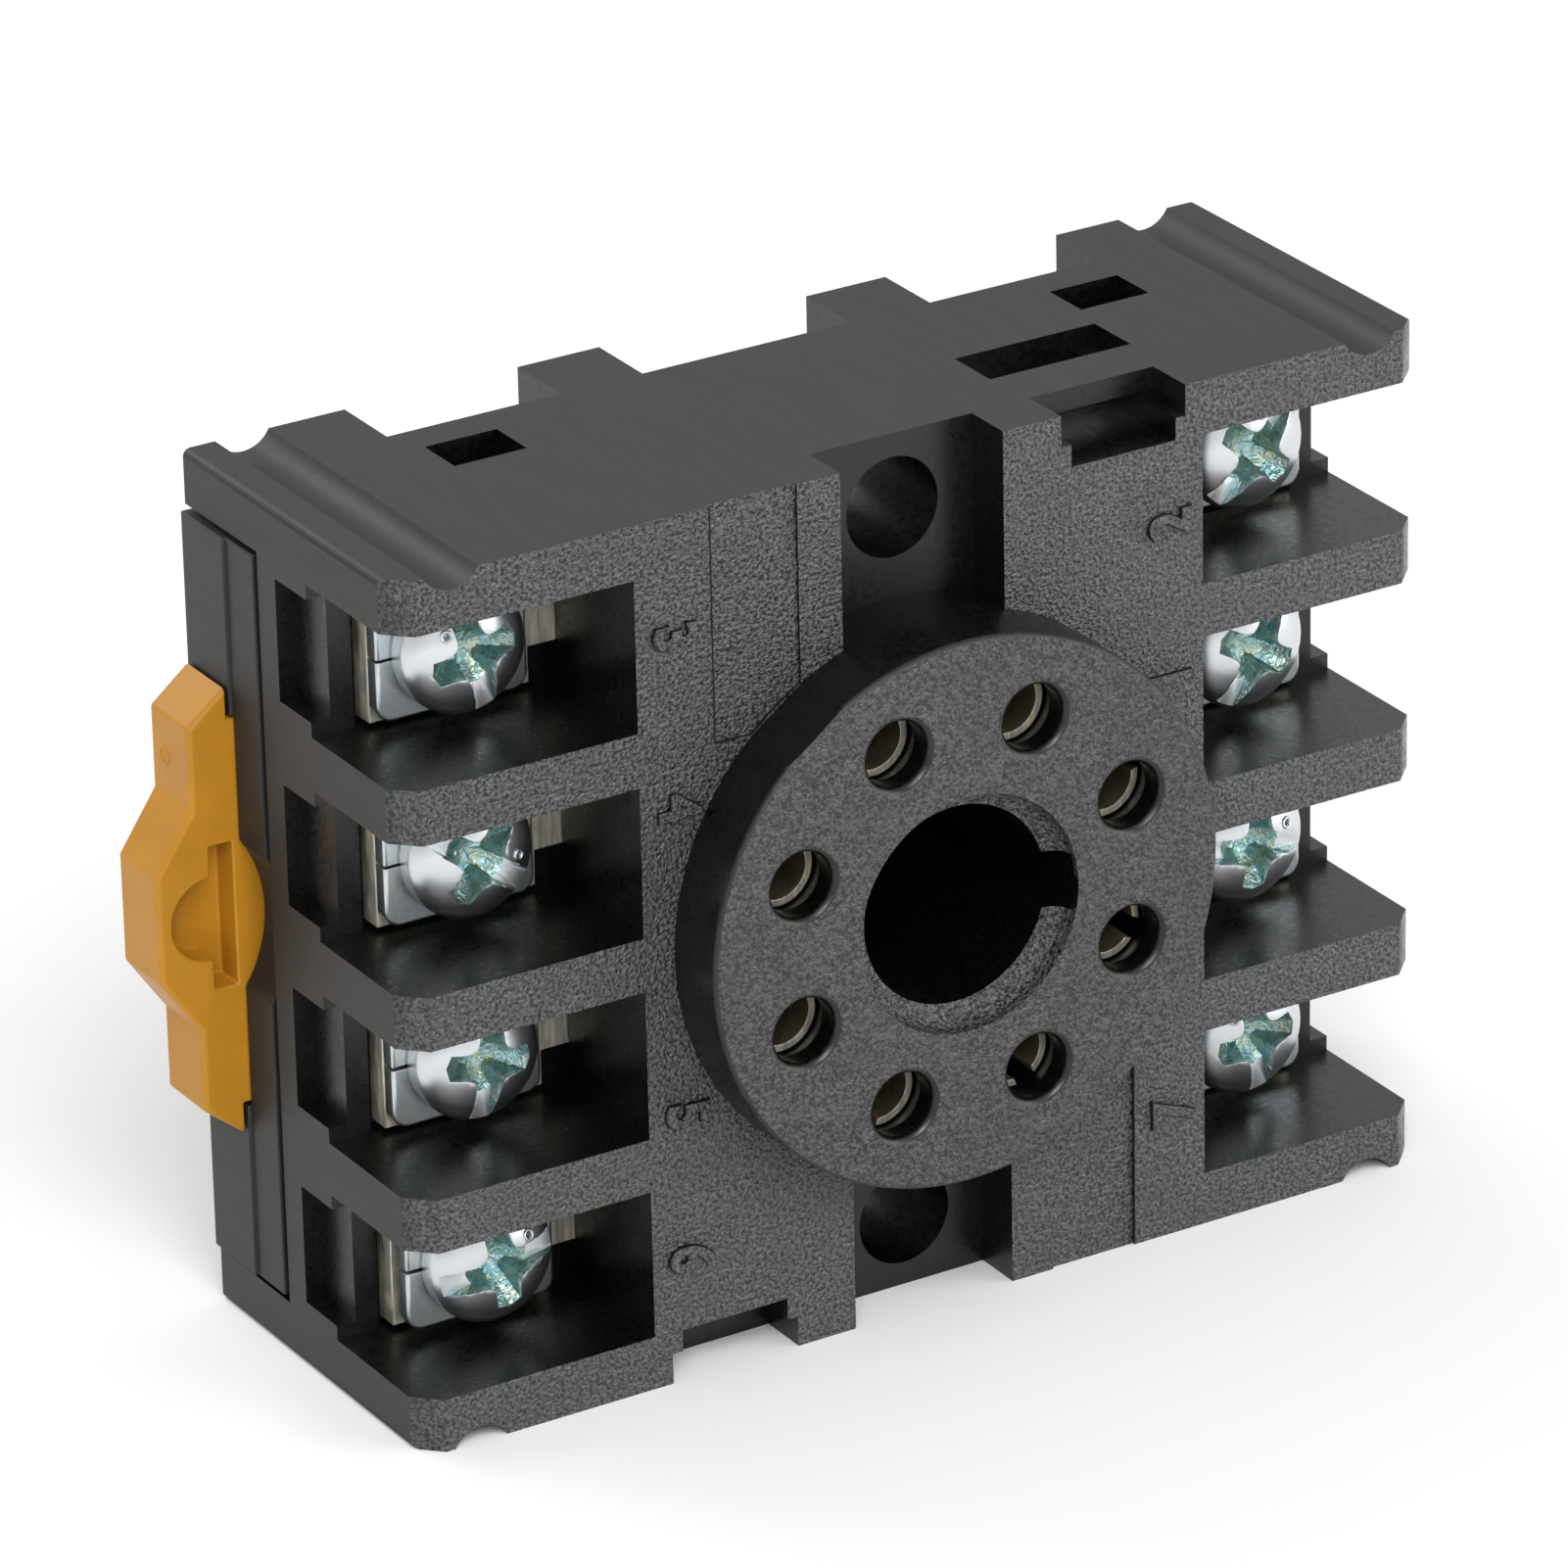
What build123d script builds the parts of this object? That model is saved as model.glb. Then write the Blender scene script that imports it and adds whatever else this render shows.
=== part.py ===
from build123d import *
import os
from math import atan2, cos, degrees, hypot, radians, sin

# Eight-pin round-plug relay socket with screw terminals, for a 35 mm rail or a panel.
# X runs along the socket, Y from the plug side back to the rail side, Z up. The origin is on
# the axis of the key bore, in the front plane that the boss stands on. Millimetres.

# Housing
LENGTH = 50.4
HEIGHT = 39.6
BODY_DEPTH = 13.9
FOOT_HEIGHT = 3.6
LONG_EDGE_ROUND = 0.35

# Plug boss, its key bore and its pin holes
BOSS_RADIUS = 12.45
BOSS_HEIGHT = 3.3
BOSS_EDGE_ROUND = 0.25
BOSS_FLAT_ANGLE = 126.5
BOSS_FLAT_DEPTH = 0.12
CORE_DEPTH = 6.6
BORE_RADIUS = 4.5
MOUTH_WALL = 0.3
MOUTH_COVE = 0.9
BORE_WALL = 1.5
KEYWAY_WIDTH = 2.6
PIN_CIRCLE = 17.5
PIN_COUNT = 8
PIN_HOLE_RADIUS = 1.8
PIN_HOLE_CHAMFER = 0.2

# Terminal bays and the barriers between them
BAYS_PER_END = 4
BARRIER = 2.45
BARRIER_CHAMFER = 1.1
BAY_LENGTH = 11.3
BAY_DEPTH = 7.2
PLATE_POCKET_DEPTH = 0.65
PLATE_POCKET_INSET = 2.0
END_NOTCH_DEPTH = 0.9
END_NOTCH_RUN = 2.65
END_NOTCH_WIDTH = 5.5
SCREW_INSET = 5.95
SCREW_WELL_RADIUS = 2.1

# Fixing holes in their round-the-screw recess
FIXING_INSET = 3.3
FIXING_RADIUS = 2.25
RECESS_WIDTH = 7.95
RECESS_DEPTH = 2.4
PAD_WIDTH = 8.4
PAD_BELOW_HOLE = 4.2

# Inside of the housing
FRONT_WALL = 2.5
INNER_WALL = 1.5
SIDE_WALL = 3.5
STRAP_SLOT_GAP = 0.1

# Feet on the long walls, either side of the rail
RAIL_OPENING = 35.4
RAIL_OFFSET = 0.2
INNER_FOOT_FROM = 5.15
INNER_FOOT_WIDTH = 4.0

# Sockets for a hold-down spring, and the windows that the cover snaps into
LATCH_FROM = 6.85
LATCH_WIDTH = 6.2
LATCH_DEPTH = 2.45
LATCH_DROP = 1.4
LATCH_POCKET_SIDE = 0.5
LATCH_POCKET_DROP = 1.0
LATCH_ROOF = 0.4
SPRING_SLOT_FROM = 6.6
SPRING_SLOT_LENGTH = 7.05
SPRING_SLOT_DEPTH = 5.1
SPRING_SLOT_WIDTH = 2.8
SPRING_SLOT_SHELF = 1.7
SHELF_DROP = 1.0
WINDOW_LENGTH = 3.45
WINDOW_WIDTH = 2.5
WINDOW_DEPTH = 9.55
NEAR_WINDOW_FROM = 14.05
FAR_WINDOW_FROM = 13.3

# Corner grooves and label fields
GROOVE_INSET = 2.8
GROOVE_RADIUS = 1.45
GROOVE_DEPTH = 0.75
LABEL_FROM = 6.05
LABEL_WIDTH = 4.2
LABEL_LOW_END = 9.15
LABEL_DEPTH = 0.15

# Base cover
COVER_FRONT = 11.35
COVER_SIDE_GAP = 0.25
COVER_END_GAP = 0.25
COVER_END_LIP = 0.5
COVER_PROUD = 0.1
COVER_BLOCK_PROUD = 0.25
SNAP_LENGTH = 3.0
SNAP_REACH = 1.2
SNAP_GAP = 0.2
POST_RADIUS = 2.0
HOOK_HALF_WIDTH = 11.0
HOOK_REACH = 1.2
RAIL_THICKNESS = 1.0
HOOK_GAP = 0.3

# Rail clip
CLIP_CLEARANCE = 0.1
CLIP_SIDE_GAP = 0.15
HANDLE_REACH = 3.65
HANDLE_SHOULDER = 1.85
HANDLE_HALF = 10.35
SHOULDER_HALF = 8.85
NOSE_ROOT_HALF = 5.1
NOSE_HALF = 2.45
HANDLE_ROUND = 0.25
POCKET_HALF = 3.3
POCKET_WIDTH = 1.1
POCKET_DEPTH = 1.5
POCKET_RADIUS = 1.9
STEM_HALF = 5.2
ARM_THICKNESS = 1.3
ARM_OUTER = 8.9
ARM_BRIDGE = 1.6
ARM_SHORT = 1.2
ARM_BUMP = 0.55
ARM_BUMP_LENGTH = 1.4
LIP_THICKNESS = 1.1
LIP_OVERHANG = 1.2
CLIP_HOOK_REACH = 1.2
CLIP_TRAVEL = 4.0
NOTCH_HALF = 3.4
NOTCH_DEPTH = 1.05

# Contacts: terminal plates with their straps, and the pin sleeves
PLATE_THICKNESS = 1.2
PLATE_SIDE_GAP = 0.22
PLATE_END_GAP = 0.4
PLATE_LENGTH = 7.6
STRAP_WIDTH = 3.2
EYE_RADIUS = 2.5
COLLAR_RADIUS = 2.4
COLLAR_LENGTH = 1.3
SLEEVE_OUTER = 1.7
SLEEVE_WALL = 0.35
SLEEVE_SET_BACK = 2.1
SLEEVE_SPLIT = 0.9
SLEEVE_FLANGE = 2.3
SLEEVE_FLANGE_THICKNESS = 0.8
SLEEVE_GAP = 0.02
CLAMP_GAP = 0.02

# Terminal screws, M3.5, and their square clamp washers
THREAD_RADIUS = 1.75
THREAD_PITCH = 0.6
TAPPED_GAP = 0.05
SHANK_LENGTH = 4.9
SHANK_TIP = 0.4
HEAD_RADIUS = 2.9
HEAD_RIM = 0.8
HEAD_HEIGHT = 2.2
SLOT_WIDTH = 1.1
SLOT_DEPTH = 0.9
CROSS_WIDTH = 1.15
CROSS_REACH = 1.9
CROSS_DEPTH = 1.6
WASHER_THICKNESS = 0.75
WASHER_LENGTH = 7.1
WASHER_SIDE_GAP = 0.47
WASHER_CORNER = 0.7
WASHER_HOLE_GAP = 0.15
WASHER_EDGE_ROUND = 0.15
WASHER_SLIT = 0.12
WASHER_SLIT_LENGTH = 1.6
WASHER_SLIT_RISE = -0.15

# Each terminal: its end (-1 left, 1 right), its bay from the top, how far its screw stands
# open in turns, and the angle of the slot in its head.
TERMINALS = {
    1: (1, 1, 0.1, 62.0),
    2: (1, 0, 0.1, 48.0),
    3: (-1, 0, 0.1, 106.0),
    4: (-1, 1, 0.1, -36.0),
    5: (-1, 2, 0.1, 84.0),
    6: (-1, 3, 1.0, 10.0),
    7: (1, 3, 0.1, 100.0),
    8: (1, 2, 0.1, -5.0),
}

HALF_LENGTH = LENGTH / 2
HALF_HEIGHT = HEIGHT / 2
FIXING_Z = HALF_HEIGHT - FIXING_INSET
BAY_PITCH = (HEIGHT - BARRIER) / BAYS_PER_END
BAY_GAP = BAY_PITCH - BARRIER
PLATE_WIDTH = BAY_GAP - 2 * PLATE_SIDE_GAP
WASHER_WIDTH = BAY_GAP - 2 * WASHER_SIDE_GAP
BAY_INNER = HALF_LENGTH - BAY_LENGTH
POCKET_FLOOR = BAY_DEPTH + PLATE_POCKET_DEPTH
WALL_INNER = HALF_HEIGHT - BARRIER
SEAT_DEPTH = BODY_DEPTH + FOOT_HEIGHT
LEFT_RAIL_EDGE = RAIL_OFFSET - RAIL_OPENING / 2
RIGHT_RAIL_EDGE = RAIL_OFFSET + RAIL_OPENING / 2
SCREW_X = HALF_LENGTH - SCREW_INSET
PLATE_FRONT = POCKET_FLOOR - PLATE_THICKNESS
PIN_RING = PIN_CIRCLE / 2
OVER = 1.0
SAME_PLACE = 0.01


def block(x0, x1, depth0, depth1, z0, z1):
    """Box between two X, two depths behind the front plane and two Z."""
    middle = ((x0 + x1) / 2, (depth0 + depth1) / 2, (z0 + z1) / 2)
    return Pos(*middle) * Box(abs(x1 - x0), abs(depth1 - depth0), abs(z1 - z0))


def rod(x, z, radius, depth0, depth1):
    """Round bar along Y, from one depth behind the front plane to another."""
    middle = (x, (depth0 + depth1) / 2, z)
    return Pos(*middle) * Rot(90, 0, 0) * Cylinder(radius, abs(depth1 - depth0))


def slab(outline, depth0, depth1):
    """Flat outline drawn in X and Z, as thick as the run from one depth to the other."""
    plane = Plane(origin=(0, depth0, 0), x_dir=(1, 0, 0), z_dir=(0, -1, 0))
    return extrude(plane * outline, amount=-(depth1 - depth0))


def half_turn(shape):
    """The same shape turned by half a turn about the boss axis."""
    return Rot(0, 180, 0) * shape


def twice(shape):
    """A shape and its half turned copy."""
    return shape + half_turn(shape)


def bay_height(row):
    return ((BAYS_PER_END - 1) / 2 - row) * BAY_PITCH


def pin_place(number):
    angle = radians(360 / PIN_COUNT * (number - 0.5))
    return PIN_RING * cos(angle), PIN_RING * sin(angle)


def bay_space(side, row):
    """All that is cut away for one terminal bay, with its end notch and plate pocket."""
    z = bay_height(row)
    end = side * (HALF_LENGTH + OVER)
    half = BAY_GAP / 2
    space = block(side * BAY_INNER, end, -OVER, BAY_DEPTH, z - half, z + half)
    notch_floor = side * (HALF_LENGTH - END_NOTCH_DEPTH)
    notch_half = END_NOTCH_WIDTH / 2
    notch_end = BAY_DEPTH + END_NOTCH_RUN
    space += block(notch_floor, end, BAY_DEPTH - OVER, notch_end, z - notch_half, z + notch_half)
    pocket_end = side * (HALF_LENGTH - PLATE_POCKET_INSET)
    space += block(side * BAY_INNER, pocket_end, BAY_DEPTH - OVER, POCKET_FLOOR, z - half, z + half)
    strap_half = STRAP_WIDTH / 2 + STRAP_SLOT_GAP
    slot_inner = side * (BAY_INNER - INNER_WALL - OVER)
    slot_front = PLATE_FRONT - STRAP_SLOT_GAP
    slot_back = POCKET_FLOOR + STRAP_SLOT_GAP
    space += block(slot_inner, side * BAY_INNER, slot_front, slot_back, z - strap_half, z + strap_half)
    space += rod(side * SCREW_X, z, SCREW_WELL_RADIUS, POCKET_FLOOR - OVER, COVER_FRONT + OVER)
    collar = COLLAR_RADIUS + STRAP_SLOT_GAP
    collar_back = POCKET_FLOOR + COLLAR_LENGTH + STRAP_SLOT_GAP
    return space + rod(side * SCREW_X, z, collar, POCKET_FLOOR - OVER, collar_back)


def inner_cavity():
    """Room behind the front wall for the straps, around the core, tubes and pads."""
    half_x = BAY_INNER - INNER_WALL
    half_z = HALF_HEIGHT - SIDE_WALL
    cavity = block(-half_x, half_x, FRONT_WALL, COVER_FRONT + OVER, -half_z, half_z)
    cavity -= rod(0, 0, BOSS_RADIUS, 0, CORE_DEPTH)
    cavity -= rod(0, 0, BORE_RADIUS + BORE_WALL, 0, COVER_FRONT + 2 * OVER)
    pad_inner = FIXING_Z - PAD_BELOW_HOLE
    pad_half = PAD_WIDTH / 2
    for top in (1, -1):
        far = top * HALF_HEIGHT
        cavity -= block(-pad_half, pad_half, 0, COVER_FRONT + 2 * OVER, top * pad_inner, far)
        wall = RECESS_WIDTH / 2 + INNER_WALL
        cavity -= block(-wall, wall, 0, RECESS_DEPTH + FRONT_WALL, 0, far)
    return cavity


def latch_spaces():
    """Hold-down notch, its pocket and spring slot, and the two snap windows of one wall."""
    top = HALF_HEIGHT + OVER
    notch_to = LATCH_FROM + LATCH_WIDTH
    notch_low = HALF_HEIGHT - LATCH_DROP
    spaces = block(LATCH_FROM, notch_to, -OVER, LATCH_DEPTH, notch_low, top)
    pocket_from = LATCH_FROM + LATCH_POCKET_SIDE
    pocket_to = notch_to - LATCH_POCKET_SIDE
    slot_back = SPRING_SLOT_DEPTH + SPRING_SLOT_WIDTH
    pocket_low = notch_low - LATCH_POCKET_DROP
    spaces += block(pocket_from, pocket_to, -OVER, slot_back, pocket_low, notch_low + LATCH_ROOF)
    slot_to = SPRING_SLOT_FROM + SPRING_SLOT_LENGTH
    shelf_from = slot_to - SPRING_SLOT_SHELF
    shelf_low = HALF_HEIGHT - SHELF_DROP
    spaces += block(SPRING_SLOT_FROM, shelf_from, SPRING_SLOT_DEPTH, slot_back, pocket_low, top)
    spaces += block(shelf_from, slot_to, SPRING_SLOT_DEPTH, slot_back, shelf_low, top)
    for start in (NEAR_WINDOW_FROM, -FAR_WINDOW_FROM - WINDOW_LENGTH):
        window_to = start + WINDOW_LENGTH
        window_back = WINDOW_DEPTH + WINDOW_WIDTH
        low = WALL_INNER - OVER
        spaces += block(start, window_to, WINDOW_DEPTH, window_back, low, top)
    return spaces


def feet():
    """The four feet on each long wall."""
    shape = None
    inner_to = INNER_FOOT_FROM + INNER_FOOT_WIDTH
    spans = ((-HALF_LENGTH, LEFT_RAIL_EDGE), (-inner_to, -INNER_FOOT_FROM),
             (INNER_FOOT_FROM, inner_to), (RIGHT_RAIL_EDGE, HALF_LENGTH))
    for low, high in ((WALL_INNER, HALF_HEIGHT), (-HALF_HEIGHT, -WALL_INNER)):
        for start, stop in spans:
            foot = block(start, stop, BODY_DEPTH - OVER, SEAT_DEPTH, low, high)
            shape = foot if shape is None else shape + foot
    return shape


def make_boss():
    """Round boss with a flat each side, rounded at its front edge."""
    boss = rod(0, 0, BOSS_RADIUS, -BOSS_HEIGHT, OVER)
    boss = fillet(boss.edges().group_by(Axis.Y)[0], BOSS_EDGE_ROUND)
    reach = BOSS_RADIUS
    flat = block(BOSS_RADIUS - BOSS_FLAT_DEPTH, BOSS_RADIUS + OVER, -BOSS_HEIGHT - OVER, 0, -reach, reach)
    return boss - twice(Rot(0, -BOSS_FLAT_ANGLE, 0) * flat)


def bore_space():
    """Key bore with its coved mouth and keyway, open to the plug side."""
    face = -BOSS_HEIGHT
    mouth_radius = BORE_RADIUS + MOUTH_COVE
    floor = MOUTH_WALL + MOUTH_COVE
    space = rod(0, 0, BORE_RADIUS, face - OVER, COVER_FRONT + OVER)
    with BuildPart() as mouth:
        with BuildSketch(Plane.XY):
            with BuildLine():
                Polyline((BORE_RADIUS, floor), (0, floor), (0, -OVER), (mouth_radius, -OVER),
                         (mouth_radius, MOUTH_WALL))
                CenterArc((BORE_RADIUS, MOUTH_WALL), MOUTH_COVE, 0, 90)
            make_face()
        revolve(axis=Axis.Y)
    space += Pos(0, face, 0) * mouth.part
    half = KEYWAY_WIDTH / 2
    front = face + MOUTH_WALL
    keyway = block(0, mouth_radius + OVER, front, COVER_FRONT + OVER, -half, half)
    return space + (keyway & rod(0, 0, mouth_radius, front, COVER_FRONT + OVER))


def pin_spaces():
    """The eight plug holes through the core, chamfered at the face."""
    face = -BOSS_HEIGHT
    hole = rod(0, 0, PIN_HOLE_RADIUS, face - OVER, CORE_DEPTH + OVER)
    wide = PIN_HOLE_RADIUS + PIN_HOLE_CHAMFER
    cone = Cone(wide, PIN_HOLE_RADIUS, PIN_HOLE_CHAMFER)
    cone_place = Pos(0, face + PIN_HOLE_CHAMFER / 2, 0) * Rot(-90, 0, 0)
    hole += cone_place * cone
    spaces = None
    for number in range(1, PIN_COUNT + 1):
        x, z = pin_place(number)
        placed = Pos(x, 0, z) * hole
        spaces = placed if spaces is None else spaces + placed
    return spaces


def make_housing():
    """The black moulding that carries everything else."""
    body = block(-HALF_LENGTH, HALF_LENGTH, 0, BODY_DEPTH, -HALF_HEIGHT, HALF_HEIGHT)
    body += feet()
    corners = body.edges().filter_by(Axis.Y)
    corners = corners.filter_by(lambda e: abs(abs(e.center().X) - HALF_LENGTH) < SAME_PLACE)
    corners = corners.filter_by(lambda e: abs(abs(e.center().Z) - HALF_HEIGHT) < SAME_PLACE)
    body = fillet(corners, LONG_EDGE_ROUND)
    body += make_boss()

    end = HALF_LENGTH + OVER
    body -= block(-end, end, COVER_FRONT, BODY_DEPTH + OVER, -WALL_INNER, WALL_INNER)
    pad_inner = FIXING_Z - PAD_BELOW_HOLE
    pad_half = PAD_WIDTH / 2
    for top in (1, -1):
        pad_outer = top * (WALL_INNER + OVER)
        body += block(-pad_half, pad_half, COVER_FRONT - OVER, BODY_DEPTH, top * pad_inner, pad_outer)
    body -= inner_cavity()

    for side in (-1, 1):
        for row in range(BAYS_PER_END):
            body -= bay_space(side, row)
        edge = Polygon((HALF_LENGTH - BARRIER_CHAMFER - OVER, -OVER), (end, -OVER),
                       (end, BARRIER_CHAMFER + OVER), align=None)
        wedge = Pos(0, 0, -HALF_HEIGHT) * extrude(edge, amount=HEIGHT)
        body -= wedge if side > 0 else mirror(wedge, about=Plane.YZ)

    recess_half = RECESS_WIDTH / 2
    for top in (1, -1):
        recess_end = top * (HALF_HEIGHT + OVER)
        recess = block(-recess_half, recess_half, -OVER, RECESS_DEPTH, 0, recess_end)
        body -= recess - rod(0, 0, BOSS_RADIUS, -2 * OVER, RECESS_DEPTH + OVER)
        body -= rod(0, top * FIXING_Z, FIXING_RADIUS, 0, BODY_DEPTH + OVER)
    body -= bore_space()
    body -= pin_spaces()
    body -= twice(latch_spaces())

    label_to = LABEL_FROM + LABEL_WIDTH
    label_end = -HALF_HEIGHT - OVER
    label = block(LABEL_FROM, label_to, -OVER, LABEL_DEPTH, label_end, -LABEL_LOW_END)
    body -= twice(label - rod(0, 0, BOSS_RADIUS, -2 * OVER, OVER))
    groove_x = HALF_LENGTH - GROOVE_INSET
    groove_z = HALF_HEIGHT + GROOVE_RADIUS - GROOVE_DEPTH
    groove = rod(groove_x, groove_z, GROOVE_RADIUS, -OVER, SEAT_DEPTH + OVER)
    groove += rod(-groove_x, groove_z, GROOVE_RADIUS, -OVER, SEAT_DEPTH + OVER)
    return body - twice(groove)


def clip_channel():
    """Room in the cover for the rail clip, under a lip each side, narrower at its outer end.

    The step between the narrow and the wide part stops the bumps on the clip's arms, so the
    clip pulls out only as far as its travel.
    """
    wide = ARM_OUTER + ARM_BUMP + CLIP_SIDE_GAP
    narrow = ARM_OUTER + CLIP_SIDE_GAP
    mouth = wide - LIP_OVERHANG
    start = -HALF_LENGTH - OVER
    stop = LEFT_RAIL_EDGE + OVER
    lip_front = SEAT_DEPTH - LIP_THICKNESS
    bump_from = LEFT_RAIL_EDGE - CLIP_CLEARANCE - ARM_SHORT - ARM_BUMP_LENGTH
    stop_face = bump_from - CLIP_TRAVEL - CLIP_CLEARANCE
    channel = block(stop_face, stop, BODY_DEPTH, lip_front, -wide, wide)
    channel += block(start, stop, BODY_DEPTH, lip_front, -narrow, narrow)
    channel += block(start, stop, BODY_DEPTH, SEAT_DEPTH + OVER, -mouth, mouth)
    radius = (NOTCH_HALF ** 2 + NOTCH_DEPTH ** 2) / (2 * NOTCH_DEPTH)
    notch_x = -HALF_LENGTH - COVER_PROUD + NOTCH_DEPTH - radius
    return channel + rod(notch_x, 0, radius, COVER_FRONT - OVER, BODY_DEPTH + OVER)


def make_base_cover():
    """Cover that closes the back, with the rail side blocks, fixed hook and posts."""
    half_z = WALL_INNER - COVER_SIDE_GAP
    end = HALF_LENGTH + COVER_PROUD
    inner_end = HALF_LENGTH - COVER_END_LIP
    lip_front = COVER_FRONT + COVER_END_GAP
    cover = block(-end, end, lip_front, BODY_DEPTH, -half_z, half_z)
    cover += block(-inner_end, inner_end, COVER_FRONT, lip_front + OVER, -half_z, half_z)
    block_end = HALF_LENGTH + COVER_BLOCK_PROUD
    cover += block(-block_end, LEFT_RAIL_EDGE, BODY_DEPTH, SEAT_DEPTH, -half_z, half_z)
    cover += block(RIGHT_RAIL_EDGE, block_end, BODY_DEPTH, SEAT_DEPTH, -half_z, half_z)
    inner_to = INNER_FOOT_FROM + INNER_FOOT_WIDTH
    for start, stop in ((-inner_to, -INNER_FOOT_FROM), (INNER_FOOT_FROM, inner_to)):
        cover += block(start, stop, BODY_DEPTH - OVER, SEAT_DEPTH, -half_z, half_z)

    hook_front = BODY_DEPTH + RAIL_THICKNESS + HOOK_GAP
    hook = Polyline((RIGHT_RAIL_EDGE + OVER, hook_front),
                    (RIGHT_RAIL_EDGE - HOOK_REACH, hook_front),
                    (RIGHT_RAIL_EDGE - HOOK_REACH, hook_front + HOOK_REACH / 2),
                    (RIGHT_RAIL_EDGE, SEAT_DEPTH),
                    (RIGHT_RAIL_EDGE + OVER, SEAT_DEPTH), close=True)
    ledge = extrude(make_face(hook), amount=2 * HOOK_HALF_WIDTH)
    cover += Pos(0, 0, -HOOK_HALF_WIDTH) * ledge

    for number in range(1, PIN_COUNT + 1):
        x, z = pin_place(number)
        post_front = POCKET_FLOOR + SLEEVE_FLANGE_THICKNESS
        cover += rod(x, z, POST_RADIUS, post_front, COVER_FRONT + OVER)
    pad_inner = FIXING_Z - PAD_BELOW_HOLE - COVER_SIDE_GAP
    pad_half = PAD_WIDTH / 2 + COVER_SIDE_GAP
    for top in (1, -1):
        outer = top * (HALF_HEIGHT + OVER)
        cover -= block(-pad_half, pad_half, COVER_FRONT - OVER, BODY_DEPTH + OVER, top * pad_inner, outer)
    cover -= clip_channel()
    return cover + twice(snap_tongues(half_z))


def snap_tongues(half_z):
    """Two tongues of one long edge, hooked into the housing's windows."""
    tongues = None
    inset = (WINDOW_LENGTH - SNAP_LENGTH) / 2
    window_back = WINDOW_DEPTH + WINDOW_WIDTH
    for start in (NEAR_WINDOW_FROM, -FAR_WINDOW_FROM - WINDOW_LENGTH):
        x0 = start + inset
        tip = half_z + SNAP_REACH
        profile = Polyline((half_z - OVER, window_back - SNAP_GAP),
                           (tip, window_back - SNAP_GAP),
                           (half_z + COVER_SIDE_GAP, COVER_FRONT),
                           (half_z - OVER, COVER_FRONT), close=True)
        wedge = extrude(make_face(profile), amount=SNAP_LENGTH)
        placed = Pos(x0 + SNAP_LENGTH, 0, 0) * Rot(0, -90, 0) * wedge
        tongues = placed if tongues is None else tongues + placed
    return tongues


def make_clip():
    """Rail clip: finger grip, stem with its hook, and a spring arm each side."""
    front = BODY_DEPTH + CLIP_CLEARANCE
    back = SEAT_DEPTH - CLIP_CLEARANCE
    grip_x = -HALF_LENGTH - COVER_BLOCK_PROUD - CLIP_CLEARANCE
    nose_x = grip_x - HANDLE_REACH
    shoulder_x = grip_x - HANDLE_SHOULDER
    outline = Polyline((grip_x, HANDLE_HALF), (shoulder_x, SHOULDER_HALF),
                       (shoulder_x, NOSE_ROOT_HALF), (nose_x, NOSE_HALF),
                       (nose_x, -NOSE_HALF), (shoulder_x, -NOSE_ROOT_HALF),
                       (shoulder_x, -SHOULDER_HALF), (grip_x, -HANDLE_HALF), close=True)
    grip = slab(make_face(outline), front, back)
    outer = grip.edges().filter_by(lambda e: e.center().X < grip_x - SAME_PLACE)
    grip = fillet(outer, HANDLE_ROUND)

    stem_end = LEFT_RAIL_EDGE - CLIP_CLEARANCE
    clip = grip + block(grip_x - OVER, stem_end, front, back, -STEM_HALF, STEM_HALF)
    hook_front = BODY_DEPTH + RAIL_THICKNESS + CLIP_CLEARANCE
    tip = LEFT_RAIL_EDGE + CLIP_HOOK_REACH
    hook = Polyline((stem_end - OVER, hook_front), (tip, hook_front),
                    (tip, hook_front + CLIP_HOOK_REACH / 2),
                    (stem_end, back), (stem_end - OVER, back), close=True)
    nose = extrude(make_face(hook), amount=2 * STEM_HALF)
    clip += Pos(0, 0, -STEM_HALF) * nose

    arm_back = SEAT_DEPTH - LIP_THICKNESS - CLIP_SIDE_GAP
    arm_inner = ARM_OUTER - ARM_THICKNESS
    arm_end = stem_end - ARM_SHORT
    bump_from = arm_end - ARM_BUMP_LENGTH
    for top in (1, -1):
        clip += block(grip_x - OVER, arm_end, front, arm_back, top * arm_inner, top * ARM_OUTER)
        bridge_to = grip_x + ARM_BRIDGE
        clip += block(grip_x - OVER, bridge_to, front, arm_back, top * STEM_HALF, top * ARM_OUTER)
        bump_top = top * (ARM_OUTER + ARM_BUMP)
        clip += block(bump_from, arm_end, front, arm_back, top * arm_inner, bump_top)

    pocket_x = grip_x - POCKET_WIDTH
    pocket_back = front + POCKET_DEPTH
    pocket = block(pocket_x, grip_x, front - OVER, pocket_back, -POCKET_HALF, POCKET_HALF)
    pocket += rod(pocket_x, 0, POCKET_RADIUS, front - OVER, pocket_back)
    pocket -= block(grip_x, grip_x + 2 * OVER, front - 2 * OVER, SEAT_DEPTH, -POCKET_HALF, POCKET_HALF)
    return clip - pocket


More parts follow.
